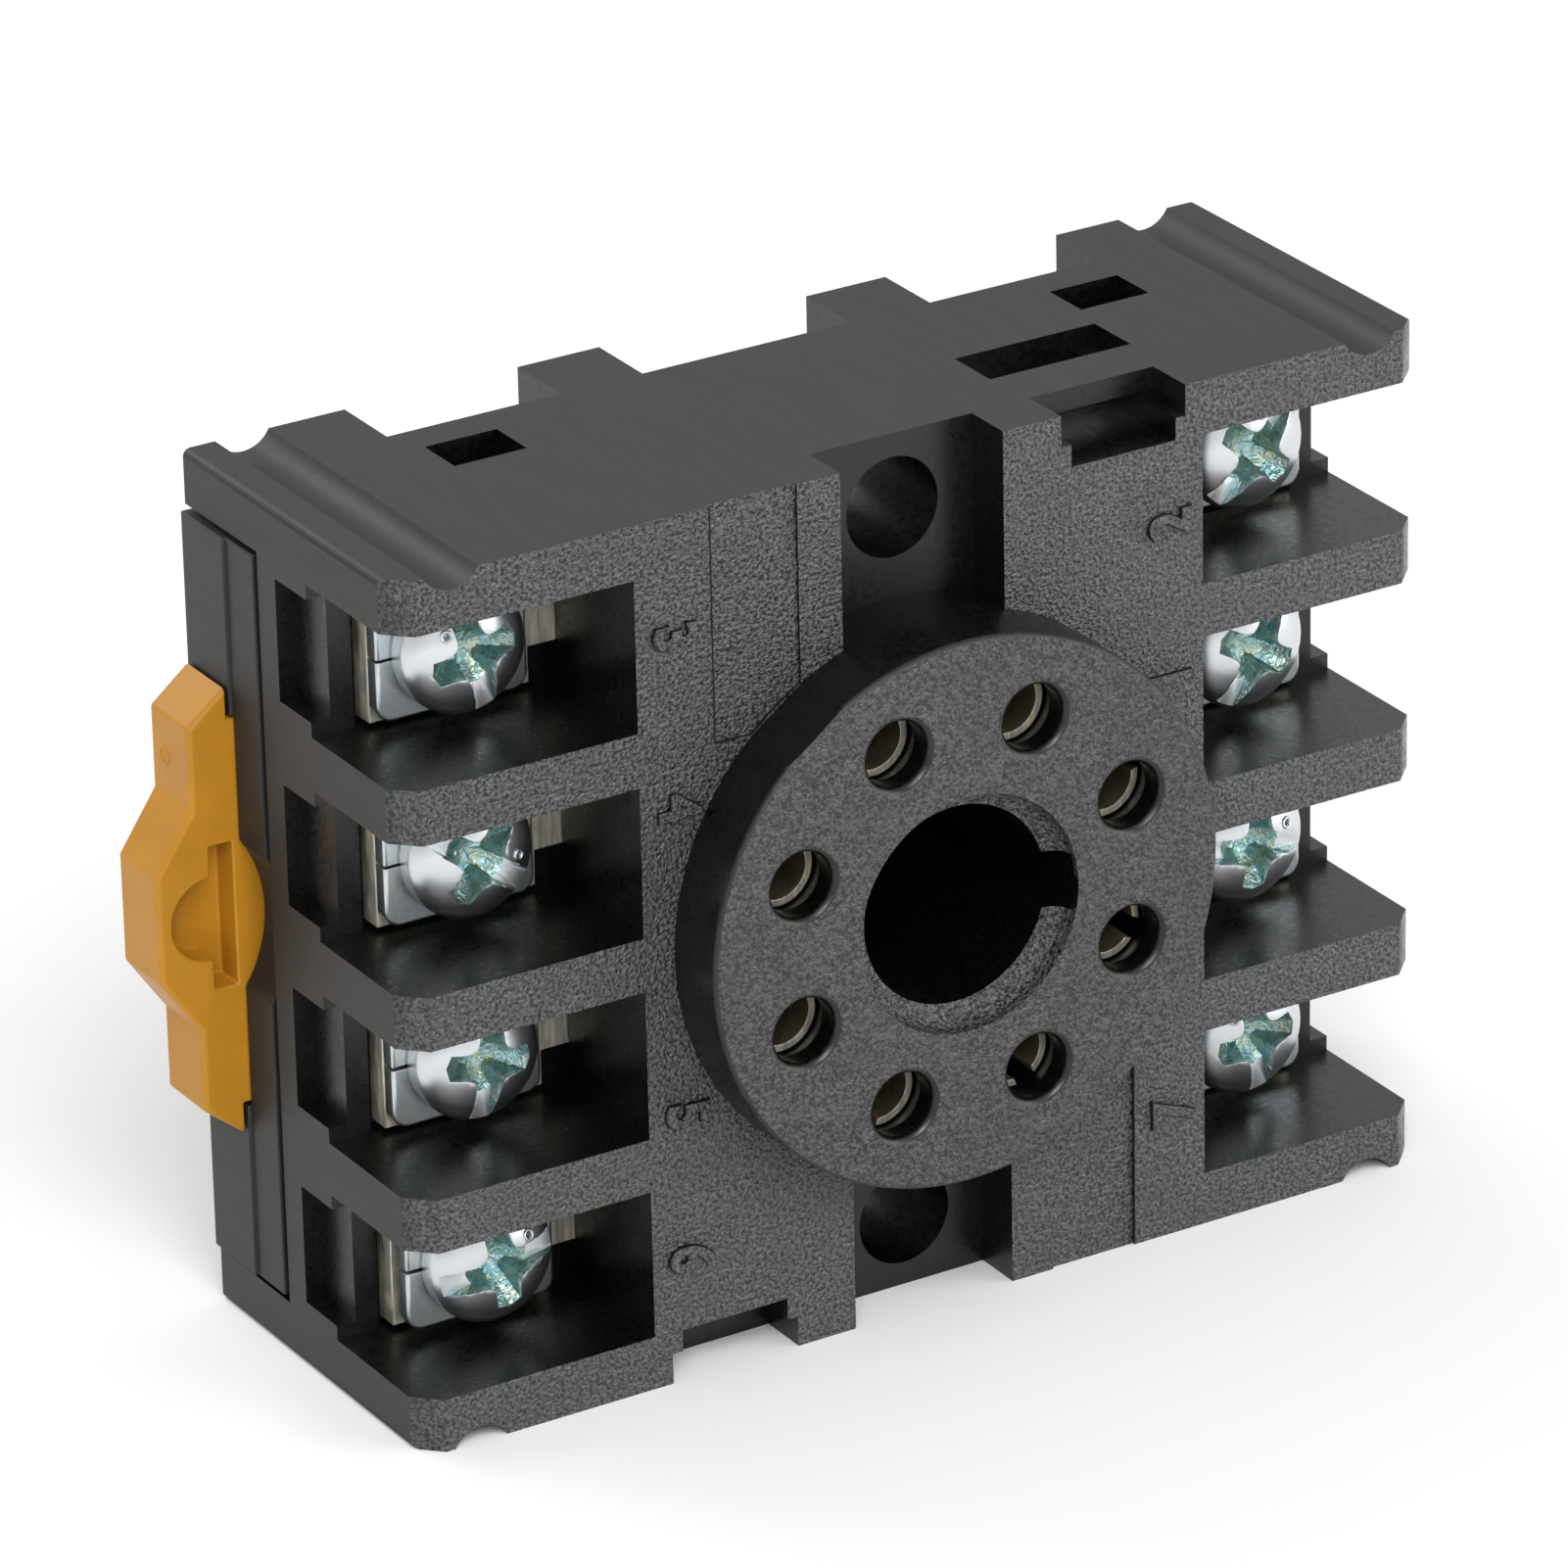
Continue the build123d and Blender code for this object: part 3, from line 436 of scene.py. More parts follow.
def zinc_plate(colours, name, tint):
    """Steel, bright zinc plated and passivated: mirror-like, with a film of teal, blue and yellow.

    The film covers a share of the open faces, the tint, and nearly all of the faces in a recess.
    """
    material, tree, place = new_material(name)
    film = add_node(tree, "ShaderNodeTexNoise", {"Vector": place, "Scale": 1 / (0.9 * MM), "Detail": 3.0,
                                                 "Distortion": 2.0})
    flow = add_node(tree, "ShaderNodeTexNoise", {"Vector": place, "Scale": 1 / (0.45 * MM), "Detail": 3.0,
                                                 "Distortion": 3.0})
    fine = add_node(tree, "ShaderNodeTexNoise", {"Vector": place, "Scale": 1 / (0.25 * MM), "Detail": 3.0})
    recess = add_node(tree, "ShaderNodeAttribute", attribute_name="recess").outputs["Fac"]
    hue = mixed(tree, spread(tree, film.outputs[0], 0.0, 1.0), colours.teal, colours.lime)
    hue = mixed(tree, spread(tree, flow.outputs[0], 0.0, 0.9), hue, colours.sky)
    share = add_node(tree, "ShaderNodeMapRange", {"Value": recess, "To Min": tint, "To Max": 0.95})
    tone = mixed(tree, share.outputs[0], colours.zinc, hue)
    height = add_node(tree, "ShaderNodeMath", {0: recess, 1: flow.outputs[0]}, operation="MULTIPLY")
    swell = add_node(tree, "ShaderNodeBump", {"Height": height.outputs[0], "Strength": 0.6,
                                              "Distance": 0.12 * MM})
    relief = add_node(tree, "ShaderNodeBump", {"Height": fine.outputs[0], "Strength": 0.15,
                                               "Distance": 0.02 * MM, "Normal": swell.outputs[0]})
    rough = add_node(tree, "ShaderNodeMapRange", {"Value": recess, "To Min": 0.3, "To Max": 0.28})
    shader = add_node(tree, "ShaderNodeBsdfPrincipled", {"Base Color": tone, "Roughness": rough.outputs[0],
                                                         "Metallic": 1.0, "Normal": relief.outputs[0]})
    add_node(tree, "ShaderNodeOutputMaterial", {"Surface": shader.outputs[0]})
    return material


def plated_brass(name, pale, stained, dark):
    """Brass strip, stamped and nickel plated: streaks along the shear, stains where the plating is thin."""
    material, tree, place = new_material(name)
    drawn = add_node(tree, "ShaderNodeMapping", {"Vector": place, "Scale": (1.0, 1.0, 0.12)}).outputs[0]
    streaks = add_node(tree, "ShaderNodeTexNoise", {"Vector": drawn, "Scale": 1 / (0.2 * MM),
                                                    "Detail": 3.0}).outputs[0]
    stain = add_node(tree, "ShaderNodeTexNoise", {"Vector": place, "Scale": 1 / (0.9 * MM),
                                                  "Detail": 3.0}).outputs[0]
    tone = mixed(tree, spread(tree, stain, 0.0, 1.0), pale, stained)
    tone = mixed(tree, spread(tree, streaks, 0.0, dark), tone, shade(pale, 0.3))
    relief = add_node(tree, "ShaderNodeBump", {"Height": streaks, "Strength": 0.4, "Distance": 0.03 * MM})
    rough = spread(tree, stain, 0.52, 0.72)
    shader = add_node(tree, "ShaderNodeBsdfPrincipled", {"Base Color": tone, "Roughness": rough,
                                                         "Metallic": 1.0, "Normal": relief.outputs[0]})
    add_node(tree, "ShaderNodeOutputMaterial", {"Surface": shader.outputs[0]})
    return material


def studio_floor(colours):
    """Seamless paper: pale, matt, with a barely visible mottle."""
    material, tree, place = new_material("seamless paper")
    mottle = add_node(tree, "ShaderNodeTexNoise", {"Vector": place, "Scale": 1 / (30 * MM), "Detail": 3.0})
    tone = mixed(tree, spread(tree, mottle.outputs[0], 0.0, 1.0), colours.floor, shade(colours.floor, 0.985))
    shader = add_node(tree, "ShaderNodeBsdfPrincipled", {"Base Color": tone, "Roughness": 0.9,
                                                         "Specular IOR Level": 0.1})
    add_node(tree, "ShaderNodeOutputMaterial", {"Surface": shader.outputs[0]})
    return material


# Finishes by face

ERODED, SATIN, POLISHED = range(3)

# A normal's part along an axis above which a face looks along it, roughly and squarely
FACING = 0.6
SQUARE = 0.9
# A face this near to a plane of the housing belongs to it
SKIN = 0.3 * MM
# Radius beyond which the boss's rounded edge lies
BOSS_RIM = 12.1 * MM
# Radius and depth of the coved mouth of the key bore
MOUTH_RADIUS = 5.45 * MM
MOUTH_FLOOR = -2.05 * MM
# How far the grooves reach in from the ends of the long sides
GROOVE_REACH = 4.3 * MM
# How far the barriers' chamfered corners reach in from the ends and back from the front, and the least
# part along X and Y of a normal that leans
CHAMFER_REACH = 1.3 * MM
CHAMFER_LEAN = 0.2


def housing_finish(centres, normals):
    """Eroded on the boss's face, the front, the barriers' corners and the bore's mouth, satin on the
    outline, the back and the boss's edge, and polished within."""
    low, high = (np.array(corner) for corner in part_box("housing"))
    x, y, z = np.abs(centres).T
    depth = centres[:, 1]
    out = np.hypot(x, z)
    forward = normals[:, 1] < -FACING
    boss = np.abs(depth - low[1])
    face = forward & (boss < 0.1 * SKIN)
    rim = (boss < SKIN) & (out > BOSS_RIM)
    mouth = (depth < MOUTH_FLOOR) & (out < MOUTH_RADIUS)
    front = forward & (y < SKIN)
    top = (np.abs(normals[:, 2]) > FACING) & (z > high[2] - SKIN)
    groove = (z > high[2] - 3 * SKIN) & (x > high[0] - GROOVE_REACH)
    ends = (np.abs(normals[:, 0]) > FACING) & (x > high[0] - SKIN)
    leaning = (normals[:, 1] < -CHAMFER_LEAN) & (np.abs(normals[:, 0]) > CHAMFER_LEAN)
    chamfer = leaning & (x > high[0] - CHAMFER_REACH) & (depth < CHAMFER_REACH)
    back = normals[:, 1] > FACING
    finish = np.full(len(centres), POLISHED)
    finish[back | top | groove | ends | rim] = SATIN
    finish[face | front | mouth | chamfer] = ERODED
    return finish


def plain_finish(centres, normals):
    """The one finish on all faces."""
    return np.zeros(len(centres))


def side_finish(centres, normals):
    """The first finish on faces to the plug side, the second on all that turn away from it."""
    return normals[:, 1] > -SQUARE


def finish_detail(piece):
    """A detail of the front: eroded on its faces to the plug side, polished on its sides. On the raised
    numbers the near-black polished slopes are painted shade, the dark outline round each stroke.
    """
    by_face(piece, side_finish, bpy.data.materials[ERODED_NYLON], bpy.data.materials[POLISHED_NYLON])


# Details of the front

# Where each terminal number stands, as X and Z in millimetres
NUMBER_PLACES = {
    1: (12.3, 6.6), 2: (12.3, 13.7), 3: (-12.15, 14.45), 4: (-12.15, 6.75),
    5: (-12.15, -7.35), 6: (-12.15, -14.05), 7: (12.3, -13.9), 8: (12.3, -7.1),
}
# Height of the built-in font's figures at size one, and how much narrower and bolder the moulded ones are
FIGURE_HEIGHT = 0.72
NUMBER_SQUEEZE = 0.88
NUMBER_WEIGHT = 0.03 * MM

# Painted shadow lines along the label fields' outer edges, standing in for the shade there: X, lower and
# upper end in millimetres
SHADOW_LINES = ((-10.25, 9.15, 19.7), (10.25, -19.7, -9.15))

# The chamfered mouth that a pin hole's lip fills, how deep the lip runs and how far it lies under the face
PIN_MOUTH = 2.03 * MM
LIP_DEPTH = 1.2 * MM
LIP_SUNK = 0.003 * MM


def number_mesh(number, sizes):
    """One numeral as a low raised solid on the front plane, turned a quarter, with its head to the boss."""
    text = bpy.data.curves.new(f"numeral_{number}", "FONT")
    text.body = str(number)
    text.align_x = "CENTER"
    text.align_y = "CENTER"
    text.size = sizes.digit_height / FIGURE_HEIGHT
    text.extrude = sizes.digit_rise - sizes.digit_slope
    text.bevel_depth = sizes.digit_slope
    text.bevel_resolution = 2
    text.offset = NUMBER_WEIGHT
    text.resolution_u = 8
    holder = linked(f"numeral_{number}", text)
    mesh = bpy.data.meshes.new_from_object(holder.evaluated_get(bpy.context.evaluated_depsgraph_get()))
    bpy.data.objects.remove(holder)
    x, z = NUMBER_PLACES[number]
    quarter = -90 if x < 0 else 90
    turn = Matrix.Rotation(radians(90), 4, "X") @ Matrix.Rotation(radians(quarter), 4, "Z")
    narrow = Matrix.Diagonal((NUMBER_SQUEEZE, 1.0, 1.0, 1.0))
    mesh.transform(Matrix.Translation((x * MM, 0.0, z * MM)) @ turn @ narrow)
    return mesh


def hairline(x, low, high, width):
    """A painted shadow line as a low upright ridge: a circle of the width, half sunk in the front plane, is
    carried from the lower to the upper end and shrinks to a point at each."""
    angle = np.linspace(0, 2 * np.pi, 12, endpoint=False)
    level = np.array([low, low, high, high])[:, None] * MM
    reach = np.array([0.0, 1.0, 1.0, 0.0])[:, None] * width / 2
    points = np.stack([x * MM + reach * np.cos(angle), reach * np.sin(angle), level + 0 * angle], -1)
    return grid_mesh("hairline", points)


def pin_lip(sizes, rows=9):
    """Lip of a pin hole: flat at the face, a quarter round into the hole, then its wall to its foot."""
    turn = np.linspace(0, np.pi / 2, rows)
    inner, bend = sizes.lip_radius, sizes.lip_round
    curve = np.stack([inner + bend - bend * np.sin(turn), bend * np.cos(turn) - bend], -1)
    face = [(PIN_MOUTH, 0.0)]
    back = [(inner, -LIP_DEPTH), (PIN_MOUTH, -LIP_DEPTH)]
    profile = np.vstack([face, curve, back]) - (0, LIP_SUNK)
    return revolved("pin_lip", profile, 64, True)


# Screw

# Angle of each screw's slot from the X axis, in degrees
SCREW_TURNS = {1: 62.0, 2: 48.0, 3: 106.0, 4: -36.0, 5: 84.0, 6: 10.0, 7: 100.0, 8: -5.0}

# Bevel under the head, and how far the cutters stand out above and beside it
SEAT_BEVEL = 0.12 * MM
CUTTER_ABOVE = 1.0 * MM
CUTTER_BESIDE = 0.5 * MM
# Share of the slot's width that is left at its floor
SLOT_TAPER = 0.9

# Depth to the foot of the cross's upright walls, two rows under it, and the point in its floor
CROSS_FOOT = 0.42 * MM
CROSS_ROWS = (0.8 * MM, 1.2 * MM)
CROSS_POINT = 0.25 * MM
# Shares of the cross's width, reach and core that its walls draw in by, and the slope of an arm's blunt end
CROSS_NARROWS = 0.35
CROSS_SHORTENS = 0.6
CORE_SHRINKS = 0.45
ARM_SLOPE = 0.33
# Power of the mean that rounds the corners between the arms; a higher one gives a smaller round
CORNER_POWER = 6

# The thread: rows of points to a turn, how much of the wave a flat takes at crest and root, length of its
# blunt tip, the tip's share of the radius, and its overlap with the head
THREAD_ROWS = 14
THREAD_FLAT = 0.15
TIP_LENGTH = 0.5 * MM
TIP_SHARE = 0.75
SHANK_OVERLAP = 0.3 * MM

# The die's mark on the dome: share of the head's radius to it, angle from the slot in degrees, its ring,
# and the pit within as rows of radius and height
MARK_OUT = 0.6
MARK_ANGLE = 32
MARK_RADIUS = 0.22 * MM
MARK_THICKNESS = 0.07 * MM
PIT_PROFILE = np.array([(0.0, 0.3), (0.15, 0.3), (0.12, -0.3), (0.0, -0.3)]) * MM

# Faces of the recess lie this far under the dome and above the seat, within this share of the head's
# radius squared, and not within this distance of the slot's floor
RECESS_UNDER = 0.15 * MM
RECESS_ABOVE = 0.3 * MM
RECESS_WITHIN = 0.6
LEDGE_SKIN = 0.05 * MM


def head_profile(sizes, rows=18):
    """Rim and dome: upright to the rim height, then a quarter ellipse up to the full height on the axis."""
    rise = np.linspace(0, np.pi / 2, rows)
    dome = sizes.head_height - sizes.head_rim
    radius = sizes.head_radius * np.cos(rise)
    height = sizes.head_rim + dome * np.sin(rise)
    seat = [(0.0, 0.0), (sizes.head_radius - SEAT_BEVEL, 0.0), (sizes.head_radius, SEAT_BEVEL)]
    return np.vstack([seat, np.stack([radius, height], -1)])


def threaded_shank(sizes, columns=48):
    """Rolled thread: height over pitch, less angle over a turn, gives the place on a zigzag wave.

    The wave is clipped to a flat crest and root, and scales the radius between them. The last rows
    run out to a blunt tip.
    """
    turns = sizes.shank_length / sizes.thread_pitch
    height = np.linspace(0, -sizes.shank_length, int(turns * THREAD_ROWS))[:, None]
    angle = np.linspace(0, 2 * np.pi, columns, endpoint=False)[None, :]
    phase = height / sizes.thread_pitch - angle / (2 * np.pi)
    wave = np.abs(2 * (phase - np.floor(phase)) - 1)
    crest = np.clip(wave * (1 + 2 * THREAD_FLAT) - THREAD_FLAT, 0, 1)
    tip = np.clip((height + sizes.shank_length) / TIP_LENGTH, 0, 1)
    radius = sizes.thread_radius - sizes.thread_depth * (1 - crest * tip)
    radius = radius * (TIP_SHARE + (1 - TIP_SHARE) * tip)
    points = np.stack([radius * np.cos(angle), radius * np.sin(angle), height + 0 * angle], -1)
    cap = np.zeros((1, columns, 3))
    foot = cap + (0, 0, -sizes.shank_length)
    inside = cap + (0, 0, SHANK_OVERLAP)
    top = points[:1] + (0, 0, SHANK_OVERLAP)
    return grid_mesh("screw_shank", np.concatenate([inside, top, points, foot]))


def slot_cutter(sizes):
    """Cutter for the straight slot: a bar right across the head that narrows evenly down to its floor."""
    reach, half = sizes.head_radius + CUTTER_BESIDE, sizes.slot_width / 2
    top, above = sizes.head_height, sizes.head_height + CUTTER_ABOVE
    corner = np.array([(-1, -1), (1, -1), (1, 1), (-1, 1)])
    raised = np.hstack([corner * (reach, half), np.full((4, 1), above)])
    wide = np.hstack([corner * (reach, half), np.full((4, 1), top)])
    narrow = np.hstack([corner * (reach, half * SLOT_TAPER), np.full((4, 1), top - sizes.slot_depth)])
    centre = np.zeros((4, 3))
    rings = [centre + (0, 0, above), raised, wide, narrow, centre + (0, 0, top - sizes.slot_depth)]
    return linked("slot", grid_mesh("slot", np.stack(rings)))


def cross_cutter(sizes, columns=144):
    """Cutter for the cross recess, drawn as rings in polar form.

    An arm ends at the nearer of its flat side, which is half its width over the sine, and its
    blunt point, which is its reach over the cosine and a third of the sine, of the angle from
    the arm. A power mean with the core's radius rounds the corners between the arms. All three
    stay as they are down to the dome's foot and then shrink evenly to the floor.
    """
    angle = np.linspace(0, 2 * np.pi, columns, endpoint=False)
    off = np.abs((angle + np.pi / 4) % (np.pi / 2) - np.pi / 4)
    depth = np.array([-CUTTER_ABOVE, CROSS_FOOT, *CROSS_ROWS, sizes.cross_depth])[:, None]
    sunk = np.clip((depth - CROSS_FOOT) / (sizes.cross_depth - CROSS_FOOT), 0, 1)
    side = sizes.cross_width / 2 * (1 - CROSS_NARROWS * sunk) / np.maximum(np.sin(off), 0.001)
    point = sizes.cross_reach * (1 - CROSS_SHORTENS * sunk) / (np.cos(off) + ARM_SLOPE * np.sin(off))
    core = sizes.cross_core * (1 - CORE_SHRINKS * sunk)
    radius = (np.minimum(side, point) ** CORNER_POWER + core ** CORNER_POWER) ** (1 / CORNER_POWER)
    height = sizes.head_height - depth + 0 * angle
    points = np.stack([radius * np.cos(angle), radius * np.sin(angle), height], -1)
    axis = np.zeros((1, columns, 3))
    cap = axis + (0, 0, sizes.head_height + CUTTER_ABOVE)
    floor = axis + (0, 0, sizes.head_height - sizes.cross_depth - CROSS_POINT)
    return linked("cross", grid_mesh("cross", np.concatenate([cap, points, floor])))


def mark_place(sizes):
    """Place of the die's mark: out on the dome's ellipse, round from the slot, and turned to its slope."""
    dome = sizes.head_height - sizes.head_rim
    lift = np.sqrt(1 - MARK_OUT ** 2)
    place = (MARK_OUT * sizes.head_radius, 0, sizes.head_rim + dome * lift)
    tilt = np.arctan(dome / sizes.head_radius * MARK_OUT / lift)
    return (Matrix.Rotation(radians(MARK_ANGLE), 4, "Z") @ Matrix.Translation(place)
            @ Matrix.Rotation(tilt, 4, "Y"))


def mark_recess(mesh, sizes):
    """Mark the faces in the cross recess, for the film's colour, as those well under the dome's
    ellipse but not on the slot's floor."""
    centres, normals = face_places(mesh)
    x, y, z = centres.T
    out = (x ** 2 + y ** 2) / sizes.head_radius ** 2
    dome = sizes.head_rim + (sizes.head_height - sizes.head_rim) * np.sqrt(np.clip(1 - out, 0, 1))
    under = (dome - z > RECESS_UNDER) & (z > RECESS_ABOVE) & (out < RECESS_WITHIN)
    from_slot = np.abs(z - sizes.head_height + sizes.slot_depth)
    ledge = (normals[:, 2] > SQUARE) & (from_slot < LEDGE_SKIN)
    layer = mesh.attributes.new("recess", "FLOAT", "FACE")
    layer.data.foreach_set("value", (under & ~ledge).astype(np.float32))


def screw_pattern(sizes):
    """The screw about its own axis, head up, seat at zero: head with its recesses, mark and shank."""
    head = linked("screw_head", revolved("screw_head", head_profile(sizes), 96))
    pit = linked("pit", revolved("pit", PIT_PROFILE, 20))
    pit.data.transform(mark_place(sizes))
    cut(head, slot_cutter(sizes), cross_cutter(sizes), pit)
    rounded(head, sizes.screw_edge, angle=28.0)
    shank = linked("screw_shank", threaded_shank(sizes))
    mark = linked("screw_mark", ring_mark("screw_mark", MARK_RADIUS, MARK_THICKNESS, mark_place(sizes)))
    pieces = (smooth(head), smooth(shank, 50.0), smooth(mark, 60.0))
    mesh = joined("screw_pattern", *(piece.data for piece in pieces))
    for piece in pieces:
        bpy.data.objects.remove(piece)
    mark_recess(mesh, sizes)
    return mesh


# Rail clip

# Ejector pins left one ring in the clip's half-round recess, and one on the end face of its grip
EJECTOR_PLACES = (
    Matrix.Translation((-27.35 * MM, 15.5 * MM, 0.84 * MM)) @ Matrix.Rotation(radians(90), 4, "X"),
    Matrix.Translation((-27.4 * MM, 16.2 * MM, 6.9 * MM)) @ Matrix.Rotation(radians(90), 4, "Y"),
)
EJECTOR_RADIUS = 0.37 * MM
EJECTOR_THICKNESS = 0.05 * MM


# Operators, one for each piece or group of like pieces

class SOCKET_OT_housing(bpy.types.Operator):
    """Dress the housing: rounded moulded edges and its three mould finishes"""
    bl_idname = "socket.housing"
    bl_label = "Housing"

    def execute(self, context):
        sizes, colours = context.scene.socket_sizes, context.scene.socket_colours
        piece = rounded(solid_copy("housing", "housing_moulding"), sizes.edge, angle=50.0)
        finishes = (eroded_plastic(colours), satin_plastic(colours), polished_plastic(colours))
        by_face(smooth(piece), housing_finish, *finishes)
        stands_for(piece, "housing", "root")
        return {"FINISHED"}


class SOCKET_OT_numbers(bpy.types.Operator):
    """Raise the terminal numbers on the front of the housing"""
    bl_idname = "socket.numbers"
    bl_label = "Terminal numbers"

    def execute(self, context):
        numbers = [number_mesh(number, context.scene.socket_sizes) for number in TERMINALS]
        piece = smooth(linked("terminal_numbers", joined("terminal_numbers", *numbers)))
        # The strokes' slopes take the near-black polished nylon: painted shade, the dark outline round each
        # stroke
        finish_detail(piece)
        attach(piece, "root")
        return {"FINISHED"}


class SOCKET_OT_hairlines(bpy.types.Operator):
    """Lay a painted shadow line, a near-black ridge, along the outer edge of each label field"""
    bl_idname = "socket.hairlines"
    bl_label = "Insert hairlines"

    def execute(self, context):
        sizes, colours = context.scene.socket_sizes, context.scene.socket_colours
        lines = [hairline(*line, sizes.hairline_width) for line in SHADOW_LINES]
        piece = smooth(linked("painted_shadow_lines", joined("painted_shadow_lines", *lines)), 60.0)
        by_face(piece, plain_finish, torn_plastic(colours))
        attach(piece, "root")
        return {"FINISHED"}


class SOCKET_OT_pin_lips(bpy.types.Operator):
    """Line the mouths of the eight pin holes with their rounded, polished lips"""
    bl_idname = "socket.pin_lips"
    bl_label = "Pin hole lips"

    def execute(self, context):
        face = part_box("housing")[0].y
        turn = Matrix.Rotation(radians(90), 4, "X")
        lips = []
        for number in TERMINALS:
            low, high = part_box(f"contact_sleeve_{number}")
            axis = (low + high) / 2
            mesh = pin_lip(context.scene.socket_sizes)
            mesh.transform(Matrix.Translation((axis.x, face, axis.z)) @ turn)
            lips.append(mesh)
        piece = smooth(linked("pin_hole_lips", joined("pin_hole_lips", *lips)), 50.0)
        finish_detail(piece)
        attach(piece, "root")
        return {"FINISHED"}


class SOCKET_OT_base_cover(bpy.types.Operator):
    """Dress the base cover that closes the back"""
    bl_idname = "socket.base_cover"
    bl_label = "Base cover"

    def execute(self, context):
        piece = rounded(solid_copy("base_cover", "base_cover_moulding"), context.scene.socket_sizes.edge)
        by_face(smooth(piece), plain_finish, bpy.data.materials[SATIN_NYLON])
        stands_for(piece, "base_cover", "root")
        return {"FINISHED"}


class SOCKET_OT_rail_clip(bpy.types.Operator):
    """Dress the orange rail clip"""
    bl_idname = "socket.rail_clip"
    bl_label = "Rail clip"

    def execute(self, context):
        sizes, colours = context.scene.socket_sizes, context.scene.socket_colours
        piece = rounded(solid_copy("rail_clip", "rail_clip_moulding"), sizes.clip_edge, segments=3)
        acetal = clip_plastic(colours)
        by_face(smooth(piece), plain_finish, acetal)
        stands_for(piece, "rail_clip", "rail_clip")
        marks = [ring_mark("ejector_mark", EJECTOR_RADIUS, EJECTOR_THICKNESS, place)
                 for place in EJECTOR_PLACES]
        rings = smooth(linked("ejector_marks", joined("ejector_marks", *marks)), 60.0)
        by_face(rings, plain_finish, acetal)
        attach(rings, "rail_clip")
        return {"FINISHED"}


class SOCKET_OT_terminal_screws(bpy.types.Operator):
    """Make the eight terminal screws, with recess, mark and thread"""
    bl_idname = "socket.terminal_screws"
    bl_label = "Terminal screws"

    def execute(self, context):
        sizes, colours = context.scene.socket_sizes, context.scene.socket_colours
        pattern = screw_pattern(sizes)
        zinc = zinc_plate(colours, "steel, zinc plated and passivated", 0.12)
        upright = Matrix.Rotation(radians(90), 4, "X")
        for number in TERMINALS:
            low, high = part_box(f"terminal_screw_{number}")
            axis = (low + high) / 2
            seat = high.y - sizes.shank_length
            mesh = pattern.copy()
            turn = upright @ Matrix.Rotation(radians(SCREW_TURNS[number]), 4, "Z")
            mesh.transform(Matrix.Translation((axis.x, seat, axis.z)) @ turn)
            mesh.materials.append(zinc)
            piece = linked(f"zinc_screw_{number}", mesh)
            stands_for(piece, f"terminal_screw_{number}", f"screw_{number}")
        return {"FINISHED"}


class SOCKET_OT_clamp_washers(bpy.types.Operator):
    """Dress the eight square clamp washers"""
    bl_idname = "socket.clamp_washers"
    bl_label = "Clamp washers"

    def execute(self, context):
        sizes, colours = context.scene.socket_sizes, context.scene.socket_colours
        zinc = zinc_plate(colours, "steel strip, zinc plated", 0.3)
        for number in TERMINALS:
            piece = rounded(solid_copy(f"clamp_washer_{number}", f"zinc_washer_{number}"), sizes.metal_edge)
            by_face(smooth(piece), plain_finish, zinc)
            stands_for(piece, f"clamp_washer_{number}", f"clamp_{number}")
        return {"FINISHED"}


class SOCKET_OT_contacts(bpy.types.Operator):
    """Dress the eight terminal plates and the eight pin sleeves"""
    bl_idname = "socket.contacts"
    bl_label = "Plates and sleeves"

    def execute(self, context):
        sizes, colours = context.scene.socket_sizes, context.scene.socket_colours
        plate = plated_brass("brass strip, nickel plated", colours.nickel, colours.brass, 0.6)
        sleeve = plated_brass("rolled brass, dull nickel", colours.sleeve, shade(colours.sleeve, 0.6), 0.3)
        for kind, plating in (("terminal_plate", plate), ("contact_sleeve", sleeve)):
            for number in TERMINALS:
                node = f"{kind}_{number}"
                piece = rounded(solid_copy(node, f"plated_{node}"), sizes.metal_edge)
                by_face(smooth(piece), side_finish, plate, plating)
                stands_for(piece, node, "root")
        return {"FINISHED"}


# Studio

# Half the floor's width and the lamps: name, place and size in metres, and power in watts
FLOOR_HALF = 3.0
LAMPS = (
    ("key", (-0.25, -0.6, 0.55), 0.5, 5.0),
    ("fill", (0.6, -0.5, 0.25), 0.6, 3.0),
    ("rim", (-0.2, 0.6, 0.5), 0.5, 2.0),
)
# The world's strength as light and as backdrop, and how far a mirrored backdrop goes from one to the other
SOFT_LEVEL = 0.55
WHITE_LEVEL = 1.0
MIRRORED_SHARE = 0.6

# Camera, fitted to the photo: millimetres and degrees
CAMERA_YAW = 30.94
CAMERA_PITCH = 24.44
CAMERA_ROLL = -1.25
CAMERA_OFFSET = (6.074, -4.318, 426.485)
FOCAL_PIXELS = 10347.0
FRAME_PIXELS = 1601.0
SENSOR = 36.0


def lay_floor(colours):
    """A square of paper at the socket's lowest level."""
    half, level = FLOOR_HALF, CAD_BOX[0][2]
    corners = [(-half, -half, level), (half, -half, level), (half, half, level), (-half, half, level)]
    mesh = bpy.data.meshes.new("floor")
    mesh.from_pydata(corners, [], [(0, 1, 2, 3)])
    mesh.materials.append(studio_floor(colours))
    linked("floor", mesh)


def hang_lamp(name, place, size, watts):
    """Soft square lamp at a place, aimed at the origin."""
    lamp = bpy.data.lights.new(name, "AREA")
    lamp.size = size
    lamp.energy = watts
    aim = (-Vector(place)).to_track_quat("-Z", "Y")
    linked(name, lamp).matrix_world = Matrix.Translation(place) @ aim.to_matrix().to_4x4()


